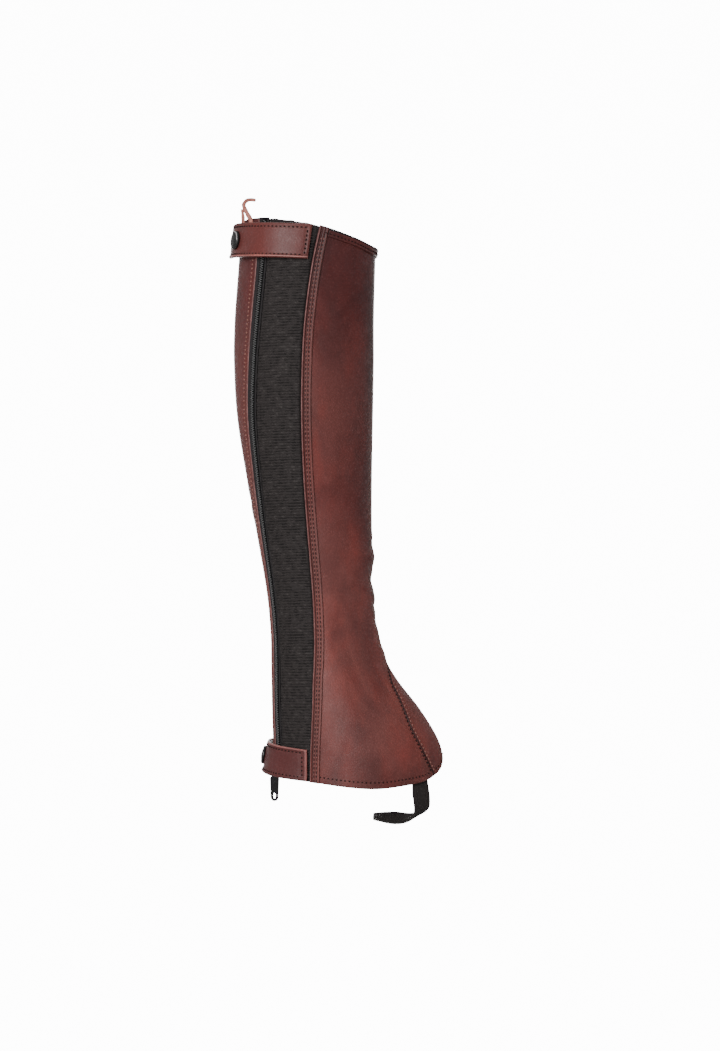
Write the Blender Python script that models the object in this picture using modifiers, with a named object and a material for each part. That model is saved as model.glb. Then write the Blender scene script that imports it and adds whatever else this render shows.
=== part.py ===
"""A leather riding gaiter for the right leg, hollow and filled out to the shape of the leg.

Metres, +Z up, +X towards the toe, -Y towards the outer side. The origin is on the leg's axis at the
fullest calf. Sizes below are in millimetres and degrees. An angle runs round the leg from the shin at 0
over the outer side at 90 to the back at 180, and goes on below 0 over the inner side at -90. A height is
measured up from the lowest point of the hem.
"""

import math
from collections import namedtuple

import bmesh
import bpy
from mathutils import Matrix, Vector

MM = 0.001
ORIGIN_HEIGHT = 335.0

LEATHER_THICKNESS = 2.0
ELASTIC_THICKNESS = 1.8
TAPE_THICKNESS = 1.0
FACING_THICKNESS = 1.0
GAP = 0.35
SEAM = 0.5

# Sections of the leg: where the wall's outer face lies at each height, from the back to the shin, its half
# width, how much the shin side narrows, and the angles of the zip and of the elastic panel's front edge.
Section = namedtuple("Section", "height back front half_width narrowing zip_angle side_angle")
SECTIONS = (
    Section(0, -23.3, 108.0, 46.0, 0.36, 160.0, 124.2),
    Section(22, -23.8, 108.2, 45.5, 0.36, 159.0, 123.6),
    Section(37, -24.2, 104.0, 45.0, 0.36, 158.8, 121.8),
    Section(60, -24.9, 90.0, 43.0, 0.34, 158.0, 116.4),
    Section(81, -25.3, 73.7, 41.0, 0.30, 155.9, 109.8),
    Section(97, -25.6, 64.2, 39.5, 0.25, 154.2, 104.4),
    Section(118, -26.0, 58.4, 38.5, 0.20, 154.0, 100.8),
    Section(150, -29.0, 54.2, 38.5, 0.14, 153.1, 97.9),
    Section(197, -37.0, 53.0, 41.5, 0.10, 149.6, 96.2),
    Section(240, -44.8, 53.0, 46.0, 0.08, 144.5, 94.7),
    Section(287, -52.1, 53.8, 50.5, 0.07, 139.7, 92.6),
    Section(330, -54.6, 54.5, 52.5, 0.06, 134.6, 90.9),
    Section(362, -54.0, 54.5, 53.0, 0.06, 131.6, 89.0),
    Section(404, -51.0, 55.5, 52.5, 0.06, 129.8, 85.0),
    Section(440, -48.5, 56.5, 51.5, 0.06, 129.6, 78.3),
)

# Soft folds of the leather round the ankle: their middle, how far they rise, and how far they reach.
Fold = namedtuple("Fold", "height angle rise half_height half_angle")
FOLDS = (
    Fold(178, 8, 1.8, 11, 62),
    Fold(160, -4, -1.4, 8, 58),
    Fold(146, 16, 1.0, 9, 46),
    Fold(128, -10, -0.9, 9, 44),
    Fold(103, 0, 0.8, 9, 34),
    Fold(191, -92, -1.3, 10, 50),
    Fold(172, -104, 1.3, 9, 46),
    Fold(155, -84, -1.2, 9, 48),
    Fold(214, -160, 1.0, 13, 36),
)

# The top edge and the hem, round the leg. The hem is the same on both sides.
Edge = namedtuple("Edge", "angle height")
TOP_EDGE = (
    Edge(-230, 438.0),
    Edge(-180, 437.5),
    Edge(-130, 430.0),
    Edge(-90, 422.5),
    Edge(-45, 416.8),
    Edge(0, 417.0),
    Edge(25, 418.8),
    Edge(50, 424.2),
    Edge(90, 433.4),
    Edge(130, 438.0),
    Edge(180, 437.5),
    Edge(230, 430.0),
)
HEM_EDGE = (
    Edge(-14, 13.5),
    Edge(0, 20.5),
    Edge(14, 13.5),
    Edge(35, 5.6),
    Edge(56, 2.0),
    Edge(82, 0.0),
    Edge(124, 5.0),
    Edge(155, 9.0),
    Edge(180, 10.0),
)

# The instep gusset's half width at each height. Its tip is at the last one.
Wedge = namedtuple("Wedge", "height half_angle")
GUSSET = (
    Wedge(0, 22.0),
    Wedge(9, 27.3),
    Wedge(25, 38.0),
    Wedge(42, 42.0),
    Wedge(56, 39.0),
    Wedge(72, 32.0),
    Wedge(84, 24.0),
    Wedge(99, 0.0),
)
GUSSET_TIP_ROW = 8
GUSSET_TIP_SHARE = 0.85
GUSSET_TIP_NARROWING = 0.07
GUSSET_COLUMNS = 6

# Rows of the walls' grids, from the hem at 0 to the top edge at 1, and how often a point is fitted between
# its column's angle and its row's height.
Band = namedtuple("Band", "start end steps")
ROW_BANDS = (Band(0.0, 0.30, 12), Band(0.30, 0.46, 9), Band(0.46, 1.0, 14))
SHIN_COLUMNS = 9
INNER_COLUMNS = 27
ELASTIC_COLUMNS = 6
FIT_ROUNDS = 14

# Trims on the panels.
BINDING_WIDTH = 7.6
BINDING_THICKNESS = 1.0
TOP_BAND_WIDTH = 6.4
TOP_BAND_THICKNESS = 1.1
TOP_BAND_FLARE = 0.5
TOP_BAND_END_ANGLE = -176.0
FACING_DEPTH = 22.0
FACING_RISE = 1.3

# The zip, whose chain runs along zip_angle.
CHAIN_HALF_WIDTH = 2.1
CHAIN_SINK = 0.1
CHAIN_THICKNESS = 1.5
CHAIN_TOP_RISE = 1.0
TAPE_SINK = 0.5
FRONT_TAPE_WIDTH = 3.8
BACK_TAPE_WIDTH = 5.2

# The slider at the foot of the zip, and its pull tab, hinged between the slider's two ears.
HINGE_HEIGHT = 14.5
HINGE_OUT = 3.6
SLIDER_WIDTH = 7.6
SLIDER_LENGTH = 12.0
SLIDER_BELOW_HINGE = 0.9
SLIDER_BASE = 0.4
SLIDER_TOP = 2.3
EAR_SPREAD = 5.6
EAR_LENGTH = 3.2
EAR_TOP = 4.5
EAR_SLOT = 3.1
EAR_ROOT = 0.5
PULL_THICKNESS = 1.2
PULL_NECK_WIDTH = 2.0
PULL_NECK_TOP = 0.9
PULL_NECK_BOTTOM = -4.6
PULL_TWIST = 32.0
PULL_WIDTH = 7.8
PULL_END_WIDTH = 6.4
PULL_LENGTH = 25.4
PULL_HOLE_WIDTH = 2.6
PULL_HOLE_LENGTH = 4.4
PULL_HOLE_EDGE = 2.0
PULL_ARC_STEPS = 6

# The two straps over the zip. The lift is how far a strap's inner face stands off the wall, at its sewn end
# and at its upper and lower edge past the zip. The upper edge settles to its last lift by the press stud. The
# rise is how much the strap climbs from its sewn end, and it stays level past the stud.
Strap = namedtuple(
    "Strap",
    "name width middle rise end_gap free_angle sewn_lift upper_lift settled_lift lower_lift lift_angle snap_angle",
)
TOP_STRAP = Strap("top_strap", 27.0, 419.3, 3.6, 4.6, 177.0, 0.5, 3.5, 3.5, 4.5, 124.0, 158.5)
BOTTOM_STRAP = Strap("bottom_strap", 24.6, 17.8, 8.6, 1.7, 203.0, 0.5, 3.0, 1.2, 6.4, 149.0, 182.5)
STRAP_SETTLE_ANGLE = 163.0
STRAP_THICKNESS = 2.4
STRAP_CORNER = 4.0
STRAP_END_LEAN = 0.5
STRAP_CORNER_COLUMNS = 3
STRAP_COLUMNS = 11
STRAP_ROWS = 4

# Press studs: the cap on the strap and the stud that joins it to the leather below.
CAP_RADIUS = 7.2
CAP_HEIGHT = 1.9
Ring = namedtuple("Ring", "radius_share height_share")
CAP_PROFILE = (
    Ring(0.0, 1.0),
    Ring(0.55, 0.88),
    Ring(0.9, 0.68),
    Ring(1.0, 0.24),
    Ring(1.0, 0.0),
    Ring(0.0, 0.0),
)
STUD_RADIUS = 4.6
STUD_CLEARANCE = 0.7
STUD_FOOT_CLEARANCE = 0.9
STUD_FOOT_SHARE = 0.65
ROUND_STEPS = 20

# The foot strap: where it is sewn inside the hem, and then its middle line, the plan angle of its width and
# how far that width tips up towards the inner side.
FOOT_STRAP_FRONT_ANGLE = 32.5
FOOT_STRAP_BACK_ANGLE = 48.5
FOOT_STRAP_SEWN_HEIGHTS = (24.0, 15.0, 6.5)
FOOT_STRAP_WIDTH = 17.0
FOOT_STRAP_THICKNESS = 1.8
FOOT_STRAP_CLEARANCE = 0.9
FOOT_STRAP_COLUMNS = 3
Station = namedtuple("Station", "x y height turn tip")
FOOT_STRAP = (
    Station(90.9, -22.6, -4.0, 38, 2),
    Station(91.8, -21.2, -11.5, 42, 4),
    Station(91.6, -18.4, -18.0, 48, 8),
    Station(88.0, -15.2, -23.0, 57, 14),
    Station(80.0, -11.8, -25.4, 67, 21),
    Station(70.2, -9.0, -25.2, 76, 27),
    Station(62.0, -7.4, -24.8, 82, 20),
    Station(54.2, -6.6, -24.4, 86, 10),
)

# The curled leather thong over the top of the zip: two strands that rise from under the top strap.
THONG_RADIUS = 1.4
Point = namedtuple("Point", "angle height out")
THONG = (
    Point(143.8, 430.0, 1.8),
    Point(145.0, 437.0, 1.8),
    Point(150.0, 442.3, 1.9),
    Point(155.0, 446.7, 1.9),
    Point(158.3, 450.0, 1.6),
    Point(154.5, 452.7, 1.2),
    Point(148.0, 453.4, 0.8),
    Point(141.0, 452.6, 0.6),
)
THONG_TAIL = (
    Point(157.2, 431.0, 1.8),
    Point(158.7, 437.5, 1.8),
    Point(160.2, 442.8, 1.8),
    Point(162.0, 446.8, 1.7),
)
THONG_STEPS = 4
Knot = namedtuple("Knot", ("place", *Point._fields))

# Colour, roughness and metallic value of each material.
FINISHES = {
    "leather": ((0.115, 0.038, 0.034), 0.42, 0.0),
    "leather_strap": ((0.150, 0.047, 0.042), 0.40, 0.0),
    "leather_thong": ((0.480, 0.200, 0.150), 0.50, 0.0),
    "elastic": ((0.030, 0.027, 0.028), 0.75, 0.0),
    "black_facing": ((0.012, 0.011, 0.012), 0.60, 0.0),
    "zip_tape": ((0.014, 0.014, 0.015), 0.80, 0.0),
    "zip_chain": ((0.022, 0.022, 0.024), 0.45, 0.0),
    "zip_metal": ((0.015, 0.015, 0.016), 0.35, 0.8),
    "snap_metal": ((0.020, 0.019, 0.020), 0.28, 0.9),
}


def mix(a, b, share):
    return a + (b - a) * share


def table_value(rows, column, at):
    """A smooth curve through one column of a table, read at a value of its first column."""
    places = [row[0] for row in rows]
    values = [getattr(row, column) for row in rows]
    last = len(rows) - 1
    at = min(max(at, places[0]), places[last])
    i = max(k for k in range(last) if places[k] <= at)
    span = places[i + 1] - places[i]
    t = (at - places[i]) / span

    def slope(k):
        before = max(k - 1, 0)
        after = min(k + 1, last)
        return (values[after] - values[before]) / (places[after] - places[before])

    rise_in = slope(i) * span
    rise_out = slope(i + 1) * span
    bend = 2 * (values[i] - values[i + 1]) + rise_in + rise_out
    return values[i] + rise_in * t + (values[i + 1] - values[i] - rise_in - bend) * t**2 + bend * t**3


def wrapped(angle):
    return (angle + 180.0) % 360.0 - 180.0


def bell(distance):
    """1 at the middle, falling smoothly to 0 at a distance of 1 and beyond."""
    if abs(distance) >= 1.0:
        return 0.0
    return math.cos(distance * math.pi / 2) ** 2


def fold_rise(angle, height):
    return sum(
        f.rise * bell((height - f.height) / f.half_height) * bell(wrapped(angle - f.angle) / f.half_angle)
        for f in FOLDS
    )


def leg_face(angle, height):
    """A point on the wall's outer face, in millimetres from the leg's axis and the hem."""
    back = table_value(SECTIONS, "back", height)
    front = table_value(SECTIONS, "front", height)
    half_width = table_value(SECTIONS, "half_width", height)
    narrowing = table_value(SECTIONS, "narrowing", height)
    forward = math.cos(math.radians(angle))
    outward = math.sin(math.radians(angle))
    rise = fold_rise(angle, height)
    x = (front + back) / 2 + ((front - back) / 2 + rise) * forward
    y = -(half_width * (1 - narrowing * max(forward, 0.0) ** 2) + rise) * outward
    return Vector((x, y, height))


def leg_normal(angle, height):
    along = leg_face(angle - 1, height) - leg_face(angle + 1, height)
    up = leg_face(angle, height + 1) - leg_face(angle, height - 1)
    return along.cross(up).normalized()


def to_metres(point):
    return Vector((point[0], point[1], point[2] - ORIGIN_HEIGHT)) * MM


def leg_point(angle, height, out=0.0):
    """A point in metres, moved out from the wall's outer face along its normal."""
    return to_metres(leg_face(angle, height) + leg_normal(angle, height) * out)


def top_height(angle):
    return table_value(TOP_EDGE, "height", angle)


def hem_height(angle):
    return table_value(HEM_EDGE, "height", abs(wrapped(angle)))


def turn_for(angle, height, distance):
    """The change of angle that moves a point this distance round the leg."""
    return distance / (leg_face(angle + 0.5, height) - leg_face(angle - 0.5, height)).length


def side_angle(height):
    return table_value(SECTIONS, "side_angle", height)


def zip_angle(height):
    return table_value(SECTIONS, "zip_angle", height)


def beside_side(height, distance):
    angle = side_angle(height)
    return angle + turn_for(angle, height, distance)


def beside_zip(height, distance):
    angle = zip_angle(height)
    return angle + turn_for(angle, height, distance)


def gusset_angle(height):
    return max(table_value(GUSSET, "half_angle", height), 0.0)


def row_shares():
    shares = [0.0]
    for band in ROW_BANDS:
        shares += [mix(band.start, band.end, (i + 1) / band.steps) for i in range(band.steps)]
    return shares


def wall_row(share, angles_at, out=0.0, low=hem_height, high=top_height):
    """One row of a wall: each column's angle follows the height, and its height follows the angle."""
    points = []
    for angle_at in angles_at:
        height = mix(low(0.0), high(0.0), share)
        for _ in range(FIT_ROUNDS):
            angle = angle_at(height)
            height = mix(low(angle), high(angle), share)
        points.append(leg_point(angle, height, out))
    return points


def columns_between(start, end, count):
    """Column rules from one edge rule to another."""
    return [
        lambda height, share=i / count: mix(start(height), end(height), share) for i in range(count + 1)
    ]


def material(name):
    found = bpy.data.materials.get(name)
    if found:
        return found
    colour, roughness, metallic = FINISHES[name]
    made = bpy.data.materials.new(name)
    made.use_nodes = True
    shader = made.node_tree.nodes["Principled BSDF"]
    shader.inputs["Base Color"].default_value = (*colour, 1.0)
    shader.inputs["Roughness"].default_value = roughness
    shader.inputs["Metallic"].default_value = metallic
    return made


def add_object(name, data, finish, collection, place=None):
    made = bpy.data.objects.new(name, data)
    if place is not None:
        made.matrix_world = place
    if finish:
        data.materials.append(material(finish))
    collection.objects.link(made)
    return made


def surface_mesh(name, grids):
    """Open sheets of quads from grids of points, joined where their points meet."""
    bm = bmesh.new()
    for grid in grids:
        rows = [[bm.verts.new(point) for point in row] for row in grid]
        for lower, upper in zip(rows, rows[1:]):
            for k in range(len(lower) - 1):
                bm.faces.new((lower[k], lower[k + 1], upper[k + 1], upper[k]))
    bmesh.ops.remove_doubles(bm, verts=bm.verts, dist=0.00001)
    mesh = bpy.data.meshes.new(name)
    bm.to_mesh(mesh)
    bm.free()
    mesh.shade_smooth()
    return mesh


def shell(name, grids, thickness, finish, collection):
    """A wall whose outer face is the grids' surface and whose thickness goes inwards."""
    made = add_object(name, surface_mesh(name, grids), finish, collection)
    solid = made.modifiers.new("thickness", "SOLIDIFY")
    solid.thickness = thickness * MM
    solid.offset = -1.0
    return made


def leather_wrap(collection):
    def side_edge(height):
        return side_angle(height)

    def binding_edge(height):
        return beside_side(height, -BINDING_WIDTH)

    def inner_gusset_edge(height):
        return -gusset_angle(height)

    shin = [side_edge] + columns_between(binding_edge, gusset_angle, SHIN_COLUMNS)
    inner = columns_between(inner_gusset_edge, wrap_back_edge, INNER_COLUMNS)
    grids = [[wall_row(share, columns) for share in row_shares()] for columns in (shin, inner)]
    return shell("leather_wrap", grids, LEATHER_THICKNESS, "leather", collection)


def wrap_back_edge(height):
    return beside_zip(height, BACK_TAPE_WIDTH + SEAM) - 360.0


def instep_gusset(collection):
    def outer_edge(height):
        angle = gusset_angle(height)
        return angle - turn_for(angle, height, SEAM)

    def inner_edge(height):
        return -outer_edge(height)

    columns = columns_between(outer_edge, inner_edge, GUSSET_COLUMNS)
    shares = row_shares()
    rows = [wall_row(share, columns) for share in shares[:GUSSET_TIP_ROW]]
    tip = wall_row(shares[GUSSET_TIP_ROW], [lambda height: 0.0])[0]
    below = rows[-1]
    middle = below[GUSSET_COLUMNS // 2]
    tip_middle = middle.lerp(tip, GUSSET_TIP_SHARE)
    rows.append([tip_middle + (point - middle) * GUSSET_TIP_NARROWING for point in below])
    return shell("instep_gusset", [rows], LEATHER_THICKNESS, "leather", collection)


def elastic_panel(collection):
    def back_edge(height):
        return beside_zip(height, -FRONT_TAPE_WIDTH - SEAM)

    def front_edge(height):
        return beside_side(height, SEAM)

    columns = columns_between(back_edge, front_edge, ELASTIC_COLUMNS)
    grid = [wall_row(share, columns) for share in row_shares()]
    return shell("elastic_panel", [grid], ELASTIC_THICKNESS, "elastic", collection)


def side_binding(collection):
    def back_edge(height):
        return side_angle(height)

    def front_edge(height):
        return beside_side(height, -BINDING_WIDTH)

    out = GAP + BINDING_THICKNESS
    grid = [wall_row(share, [back_edge, front_edge], out) for share in row_shares()]
    return shell("side_binding", [grid], BINDING_THICKNESS, "leather", collection)


def top_band(collection):
    """The turned leather band along the top edge, from the side binding round to the top strap's free end."""

    def binding_edge(height):
        return beside_side(height, -BINDING_WIDTH - SEAM)

    def middle(height):
        return 0.0

    def band_end(height):
        return TOP_BAND_END_ANGLE

    def band_foot(angle):
        return top_height(angle) - TOP_BAND_WIDTH

    shin = columns_between(binding_edge, middle, SHIN_COLUMNS)
    inner = columns_between(middle, band_end, INNER_COLUMNS)
    out = GAP + TOP_BAND_THICKNESS
    grids = [
        [wall_row(share, columns, out + TOP_BAND_FLARE * share, band_foot) for share in (0.0, 1.0)]
        for columns in (shin, inner)
    ]
    return shell("top_band", grids, TOP_BAND_THICKNESS, "leather", collection)


def top_facing(collection):
    """The black facing inside the top edge. It stands a little above the leather."""

    def front_edge(height):
        return beside_side(height, -SEAM)

    def middle(height):
        return 0.0

    def facing_foot(angle):
        return top_height(angle) - FACING_DEPTH

    def facing_top(angle):
        return top_height(angle) + FACING_RISE

    shin = columns_between(front_edge, middle, SHIN_COLUMNS)
    inner = columns_between(middle, wrap_back_edge, INNER_COLUMNS)
    out = -LEATHER_THICKNESS - GAP
    grids = [
        [wall_row(share, columns, out, facing_foot, facing_top) for share in (0.0, 0.5, 1.0)]
        for columns in (shin, inner)
    ]
    return shell("top_facing", grids, FACING_THICKNESS, "black_facing", collection)


def zip_strip(name, from_distance, to_distance, out, thickness, finish, low, collection):
    """A strip along the zip between two distances from its middle."""

    def back_edge(height):
        return beside_zip(height, from_distance)

    def front_edge(height):
        return beside_zip(height, to_distance)

    def strip_top(angle):
        return top_height(angle) + CHAIN_TOP_RISE

    grid = [wall_row(share, [back_edge, front_edge], out, low, strip_top) for share in row_shares()]
    return shell(name, [grid], thickness, finish, collection)


def zip_parts(collection):
    def chain_foot(angle):
        return HINGE_HEIGHT - SLIDER_BELOW_HINGE + SLIDER_LENGTH + SEAM

    half_seam = SEAM / 2
    zip_strip(
        "zip_tape_front", -half_seam, -FRONT_TAPE_WIDTH, -TAPE_SINK, TAPE_THICKNESS, "zip_tape", hem_height,
        collection,
    )
    zip_strip(
        "zip_tape_back", BACK_TAPE_WIDTH, half_seam, -TAPE_SINK, TAPE_THICKNESS, "zip_tape", hem_height,
        collection,
    )
    zip_strip(
        "zip_chain", CHAIN_HALF_WIDTH, -CHAIN_HALF_WIDTH, CHAIN_THICKNESS - CHAIN_SINK, CHAIN_THICKNESS,
        "zip_chain", chain_foot, collection,
    )


def place_on(point, normal):
    """A frame at a point: X round the leg, Y up the surface and Z out of it."""
    up = (Vector((0, 0, 1)) - normal * normal.z).normalized()
    across = up.cross(normal)
    frame = Matrix((across, up, normal)).transposed().to_4x4()
    return Matrix.Translation(point) @ frame


def hinge_place():
    """The frame of the pull tab's hinge, with its Z level."""
    angle = zip_angle(HINGE_HEIGHT)
    normal = leg_normal(angle, HINGE_HEIGHT)
    normal.z = 0.0
    normal.normalize()
    return place_on(leg_point(angle, HINGE_HEIGHT, 0.0) + normal * HINGE_OUT * MM, normal)


def block(name, size, middle, place, finish, collection):
    """A box of a size in millimetres, its middle given in a frame."""
    mesh = bpy.data.meshes.new(name)
    bm = bmesh.new()
    bmesh.ops.create_cube(bm, size=1.0)
    bmesh.ops.scale(bm, vec=Vector(size) * MM, verts=bm.verts)
    bmesh.ops.translate(bm, vec=Vector(middle) * MM, verts=bm.verts)
    bm.to_mesh(mesh)
    bm.free()
    return add_object(name, mesh, finish, collection, place)


def hide_cutter(cutter):
    cutter.hide_render = True
    cutter.display_type = "WIRE"


def zip_slider(collection, cutters):
    place = hinge_place()
    body_bottom = -SLIDER_BELOW_HINGE
    body = block(
        "zip_slider",
        (SLIDER_WIDTH, SLIDER_LENGTH, SLIDER_TOP - SLIDER_BASE),
        (0, body_bottom + SLIDER_LENGTH / 2, (SLIDER_TOP + SLIDER_BASE) / 2 - HINGE_OUT),
        place, "zip_metal", collection,
    )
    ear_foot = SLIDER_TOP - EAR_ROOT
    ears = block(
        "slider_ears",
        (EAR_SPREAD, EAR_LENGTH, EAR_TOP - ear_foot),
        (0, body_bottom + EAR_LENGTH / 2, (EAR_TOP + ear_foot) / 2 - HINGE_OUT),
        place, None, cutters,
    )
    slot = block(
        "slider_slot",
        (EAR_SLOT, EAR_LENGTH * 2, EAR_TOP),
        (0, body_bottom + EAR_LENGTH / 2, SLIDER_TOP + EAR_TOP / 2 - HINGE_OUT),
        place, None, cutters,
    )
    for cutter, operation in ((ears, "UNION"), (slot, "DIFFERENCE")):
        hide_cutter(cutter)
        cut = body.modifiers.new(cutter.name, "BOOLEAN")
        cut.object = cutter
        cut.operation = operation
        cut.solver = "EXACT"
    return body


def arc(centre_x, centre_y, radius_x, radius_y, start, end, steps):
    return [
        (
            centre_x + radius_x * math.cos(math.radians(mix(start, end, i / steps))),
            centre_y + radius_y * math.sin(math.radians(mix(start, end, i / steps))),
        )
        for i in range(steps + 1)
    ]


def zip_pull_tab(collection):
    """A flat tab with a round end and an oblong hole. It hangs a little twisted in the slider's ears."""
    half_neck = PULL_NECK_WIDTH / 2
    end_radius = PULL_END_WIDTH / 2
    shoulder = PULL_NECK_BOTTOM - (PULL_WIDTH - PULL_NECK_WIDTH) / 2
    outline = [(half_neck, PULL_NECK_TOP), (-half_neck, PULL_NECK_TOP), (-half_neck, PULL_NECK_BOTTOM)]
    outline.append((-PULL_WIDTH / 2, shoulder))
    outline += arc(0, end_radius - PULL_LENGTH, end_radius, end_radius, 180, 360, PULL_ARC_STEPS)
    outline += [(PULL_WIDTH / 2, shoulder), (half_neck, PULL_NECK_BOTTOM)]
    hole_radius = PULL_HOLE_WIDTH / 2
    hole_bottom = hole_radius + PULL_HOLE_EDGE - PULL_LENGTH
    hole_top = hole_bottom + PULL_HOLE_LENGTH - PULL_HOLE_WIDTH
    hole = arc(0, hole_bottom, hole_radius, hole_radius, 180, 360, PULL_ARC_STEPS)
    hole += arc(0, hole_top, hole_radius, hole_radius, 0, 180, PULL_ARC_STEPS)
    curve = bpy.data.curves.new("zip_pull_tab", "CURVE")
    curve.dimensions = "2D"
    curve.fill_mode = "BOTH"
    curve.extrude = PULL_THICKNESS * MM / 2
    for points in (outline, hole):
        spline = curve.splines.new("POLY")
        spline.points.add(len(points) - 1)
        for knot, (x, y) in zip(spline.points, points):
            knot.co = (x * MM, y * MM, 0.0, 1.0)
        spline.use_cyclic_u = True
    place = hinge_place() @ Matrix.Rotation(math.radians(PULL_TWIST), 4, "Y")
    return add_object("zip_pull_tab", curve, "zip_metal", collection, place)


def strap_edge_angle(strap, height):
    return beside_side(height, strap.end_gap)


def strap_point(strap, angle, up, out):
    """A point of a strap, out from its inner face. Up is 0 at its lower edge and 1 at its upper one."""
    sewn_angle = strap_edge_angle(strap, strap.middle)
    along = (min(angle, strap.snap_angle) - sewn_angle) / (strap.free_angle - sewn_angle)
    height = strap.middle + strap.rise * along + (up - 0.5) * strap.width
    climb = min(max((angle - sewn_angle) / (strap.lift_angle - sewn_angle), 0.0), 1.0)
    settled = min(max((angle - STRAP_SETTLE_ANGLE) / (strap.snap_angle - STRAP_SETTLE_ANGLE), 0.0), 1.0)
    upper_lift = mix(strap.upper_lift, strap.settled_lift, settled)
    lift = mix(strap.sewn_lift, mix(strap.lower_lift, upper_lift, up), climb)
    return leg_point(angle, height, lift + out)


def strap_angles(strap, up):
    """Column angles from the rounded free end to the sewn end, with the inset of the edge at each."""
    height = strap.middle + strap.rise + (up - 0.5) * strap.width
    corner_turn = turn_for(strap.free_angle, height, STRAP_CORNER)
    sewn_height = strap.middle + (up - 0.5) * strap.width
    sewn_angle = strap_edge_angle(strap, mix(strap.middle, sewn_height, STRAP_END_LEAN))
    columns = []
    for i in range(STRAP_CORNER_COLUMNS):
        lean = math.radians(90 * i / STRAP_CORNER_COLUMNS)
        inset = STRAP_CORNER * (1 - math.sin(lean))
        columns.append((strap.free_angle - corner_turn * (1 - math.cos(lean)), inset))
    straight_start = strap.free_angle - corner_turn
    for i in range(STRAP_COLUMNS + 1):
        columns.append((mix(straight_start, sewn_angle, i / STRAP_COLUMNS), 0.0))
    return columns


def strap_piece(strap, collection):
    rows = []
    for i in range(STRAP_ROWS):
        up = i / (STRAP_ROWS - 1)
        row = []
        for angle, inset in strap_angles(strap, up):
            pulled_in = mix(inset, strap.width - inset, up) / strap.width
            row.append(strap_point(strap, angle, pulled_in, STRAP_THICKNESS))
        rows.append(row)
    return shell(strap.name, [rows], STRAP_THICKNESS, "leather_strap", collection)


def strap_place(strap, out):
    """The frame at the middle of a strap's press stud, out from the strap's inner face."""
    angle = strap.snap_angle
    along = strap_point(strap, angle - 1, 0.5, out) - strap_point(strap, angle + 1, 0.5, out)
    up = strap_point(strap, angle, 0.6, out) - strap_point(strap, angle, 0.4, out)
    return place_on(strap_point(strap, angle, 0.5, out), along.cross(up).normalized())


def turned(name, profile, place, finish, collection):
    """A round piece from a profile of radius and height pairs, from its top down its outer side."""
    bm = bmesh.new()
    verts = [bm.verts.new((radius * MM, 0.0, height * MM)) for radius, height in profile]
    for a, b in zip(verts, verts[1:]):
        bm.edges.new((a, b))
    mesh = bpy.data.meshes.new(name)
    bm.to_mesh(mesh)
    bm.free()
    made = add_object(name, mesh, finish, collection, place)
    screw = made.modifiers.new("turn", "SCREW")
    screw.steps = ROUND_STEPS
    screw.render_steps = ROUND_STEPS
    screw.use_merge_vertices = True
    screw.merge_threshold = 0.00001
    return made


def press_stud(strap, collection):
    """The domed cap outside the strap and the stud between the strap and the leather."""
    cap = [(CAP_RADIUS * ring.radius_share, CAP_HEIGHT * ring.height_share) for ring in CAP_PROFILE]
    turned(
        strap.name.replace("strap", "snap_cap"), cap, strap_place(strap, STRAP_THICKNESS + GAP), "snap_metal",
        collection,
    )
    place = strap_place(strap, -STUD_CLEARANCE)
    depth = mix(strap.lower_lift, strap.settled_lift, 0.5) - STUD_CLEARANCE - STUD_FOOT_CLEARANCE
    stud = [(0.0, 0.0), (STUD_RADIUS, 0.0), (STUD_RADIUS * STUD_FOOT_SHARE, -depth), (0.0, -depth)]
    turned(strap.name.replace("strap", "snap_stud"), stud, place, "snap_metal", collection)


def foot_strap(collection):
    def spread(share):
        return mix(FOOT_STRAP_FRONT_ANGLE, FOOT_STRAP_BACK_ANGLE, share)

    shares = [i / FOOT_STRAP_COLUMNS for i in range(FOOT_STRAP_COLUMNS + 1)]
    out = -LEATHER_THICKNESS - FOOT_STRAP_CLEARANCE
    rows = [[leg_point(spread(share), height, out) for share in shares] for height in FOOT_STRAP_SEWN_HEIGHTS]
    for station in FOOT_STRAP:
        turn = math.radians(station.turn)
        tip = math.radians(station.tip)
        width = Vector((math.cos(turn) * math.cos(tip), math.sin(turn) * math.cos(tip), math.sin(tip)))
        middle = Vector((station.x, station.y, station.height))
        rows.append([to_metres(middle + width * FOOT_STRAP_WIDTH * (0.5 - share)) for share in shares])
    rows = [row[::-1] for row in rows[::-1]]
    return shell("foot_strap", [rows], FOOT_STRAP_THICKNESS, "elastic", collection)


def smooth_route(points, steps):
    """Points on a smooth curve through a route's own points."""
    table = [Knot(place, *point) for place, point in enumerate(points)]
    count = (len(points) - 1) * steps
    return [
        leg_point(*[table_value(table, column, i / steps) for column in Point._fields])
        for i in range(count + 1)
    ]


def thong(name, points, collection):
    curve = bpy.data.curves.new(name, "CURVE")
    curve.dimensions = "3D"
    curve.bevel_depth = THONG_RADIUS * MM
    curve.bevel_resolution = 2
    curve.use_fill_caps = True
    route = smooth_route(points, THONG_STEPS)
    spline = curve.splines.new("POLY")
    spline.points.add(len(route) - 1)
    for knot, point in zip(spline.points, route):
        knot.co = (*point, 1.0)
    return add_object(name, curve, "leather_thong", collection)


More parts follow.
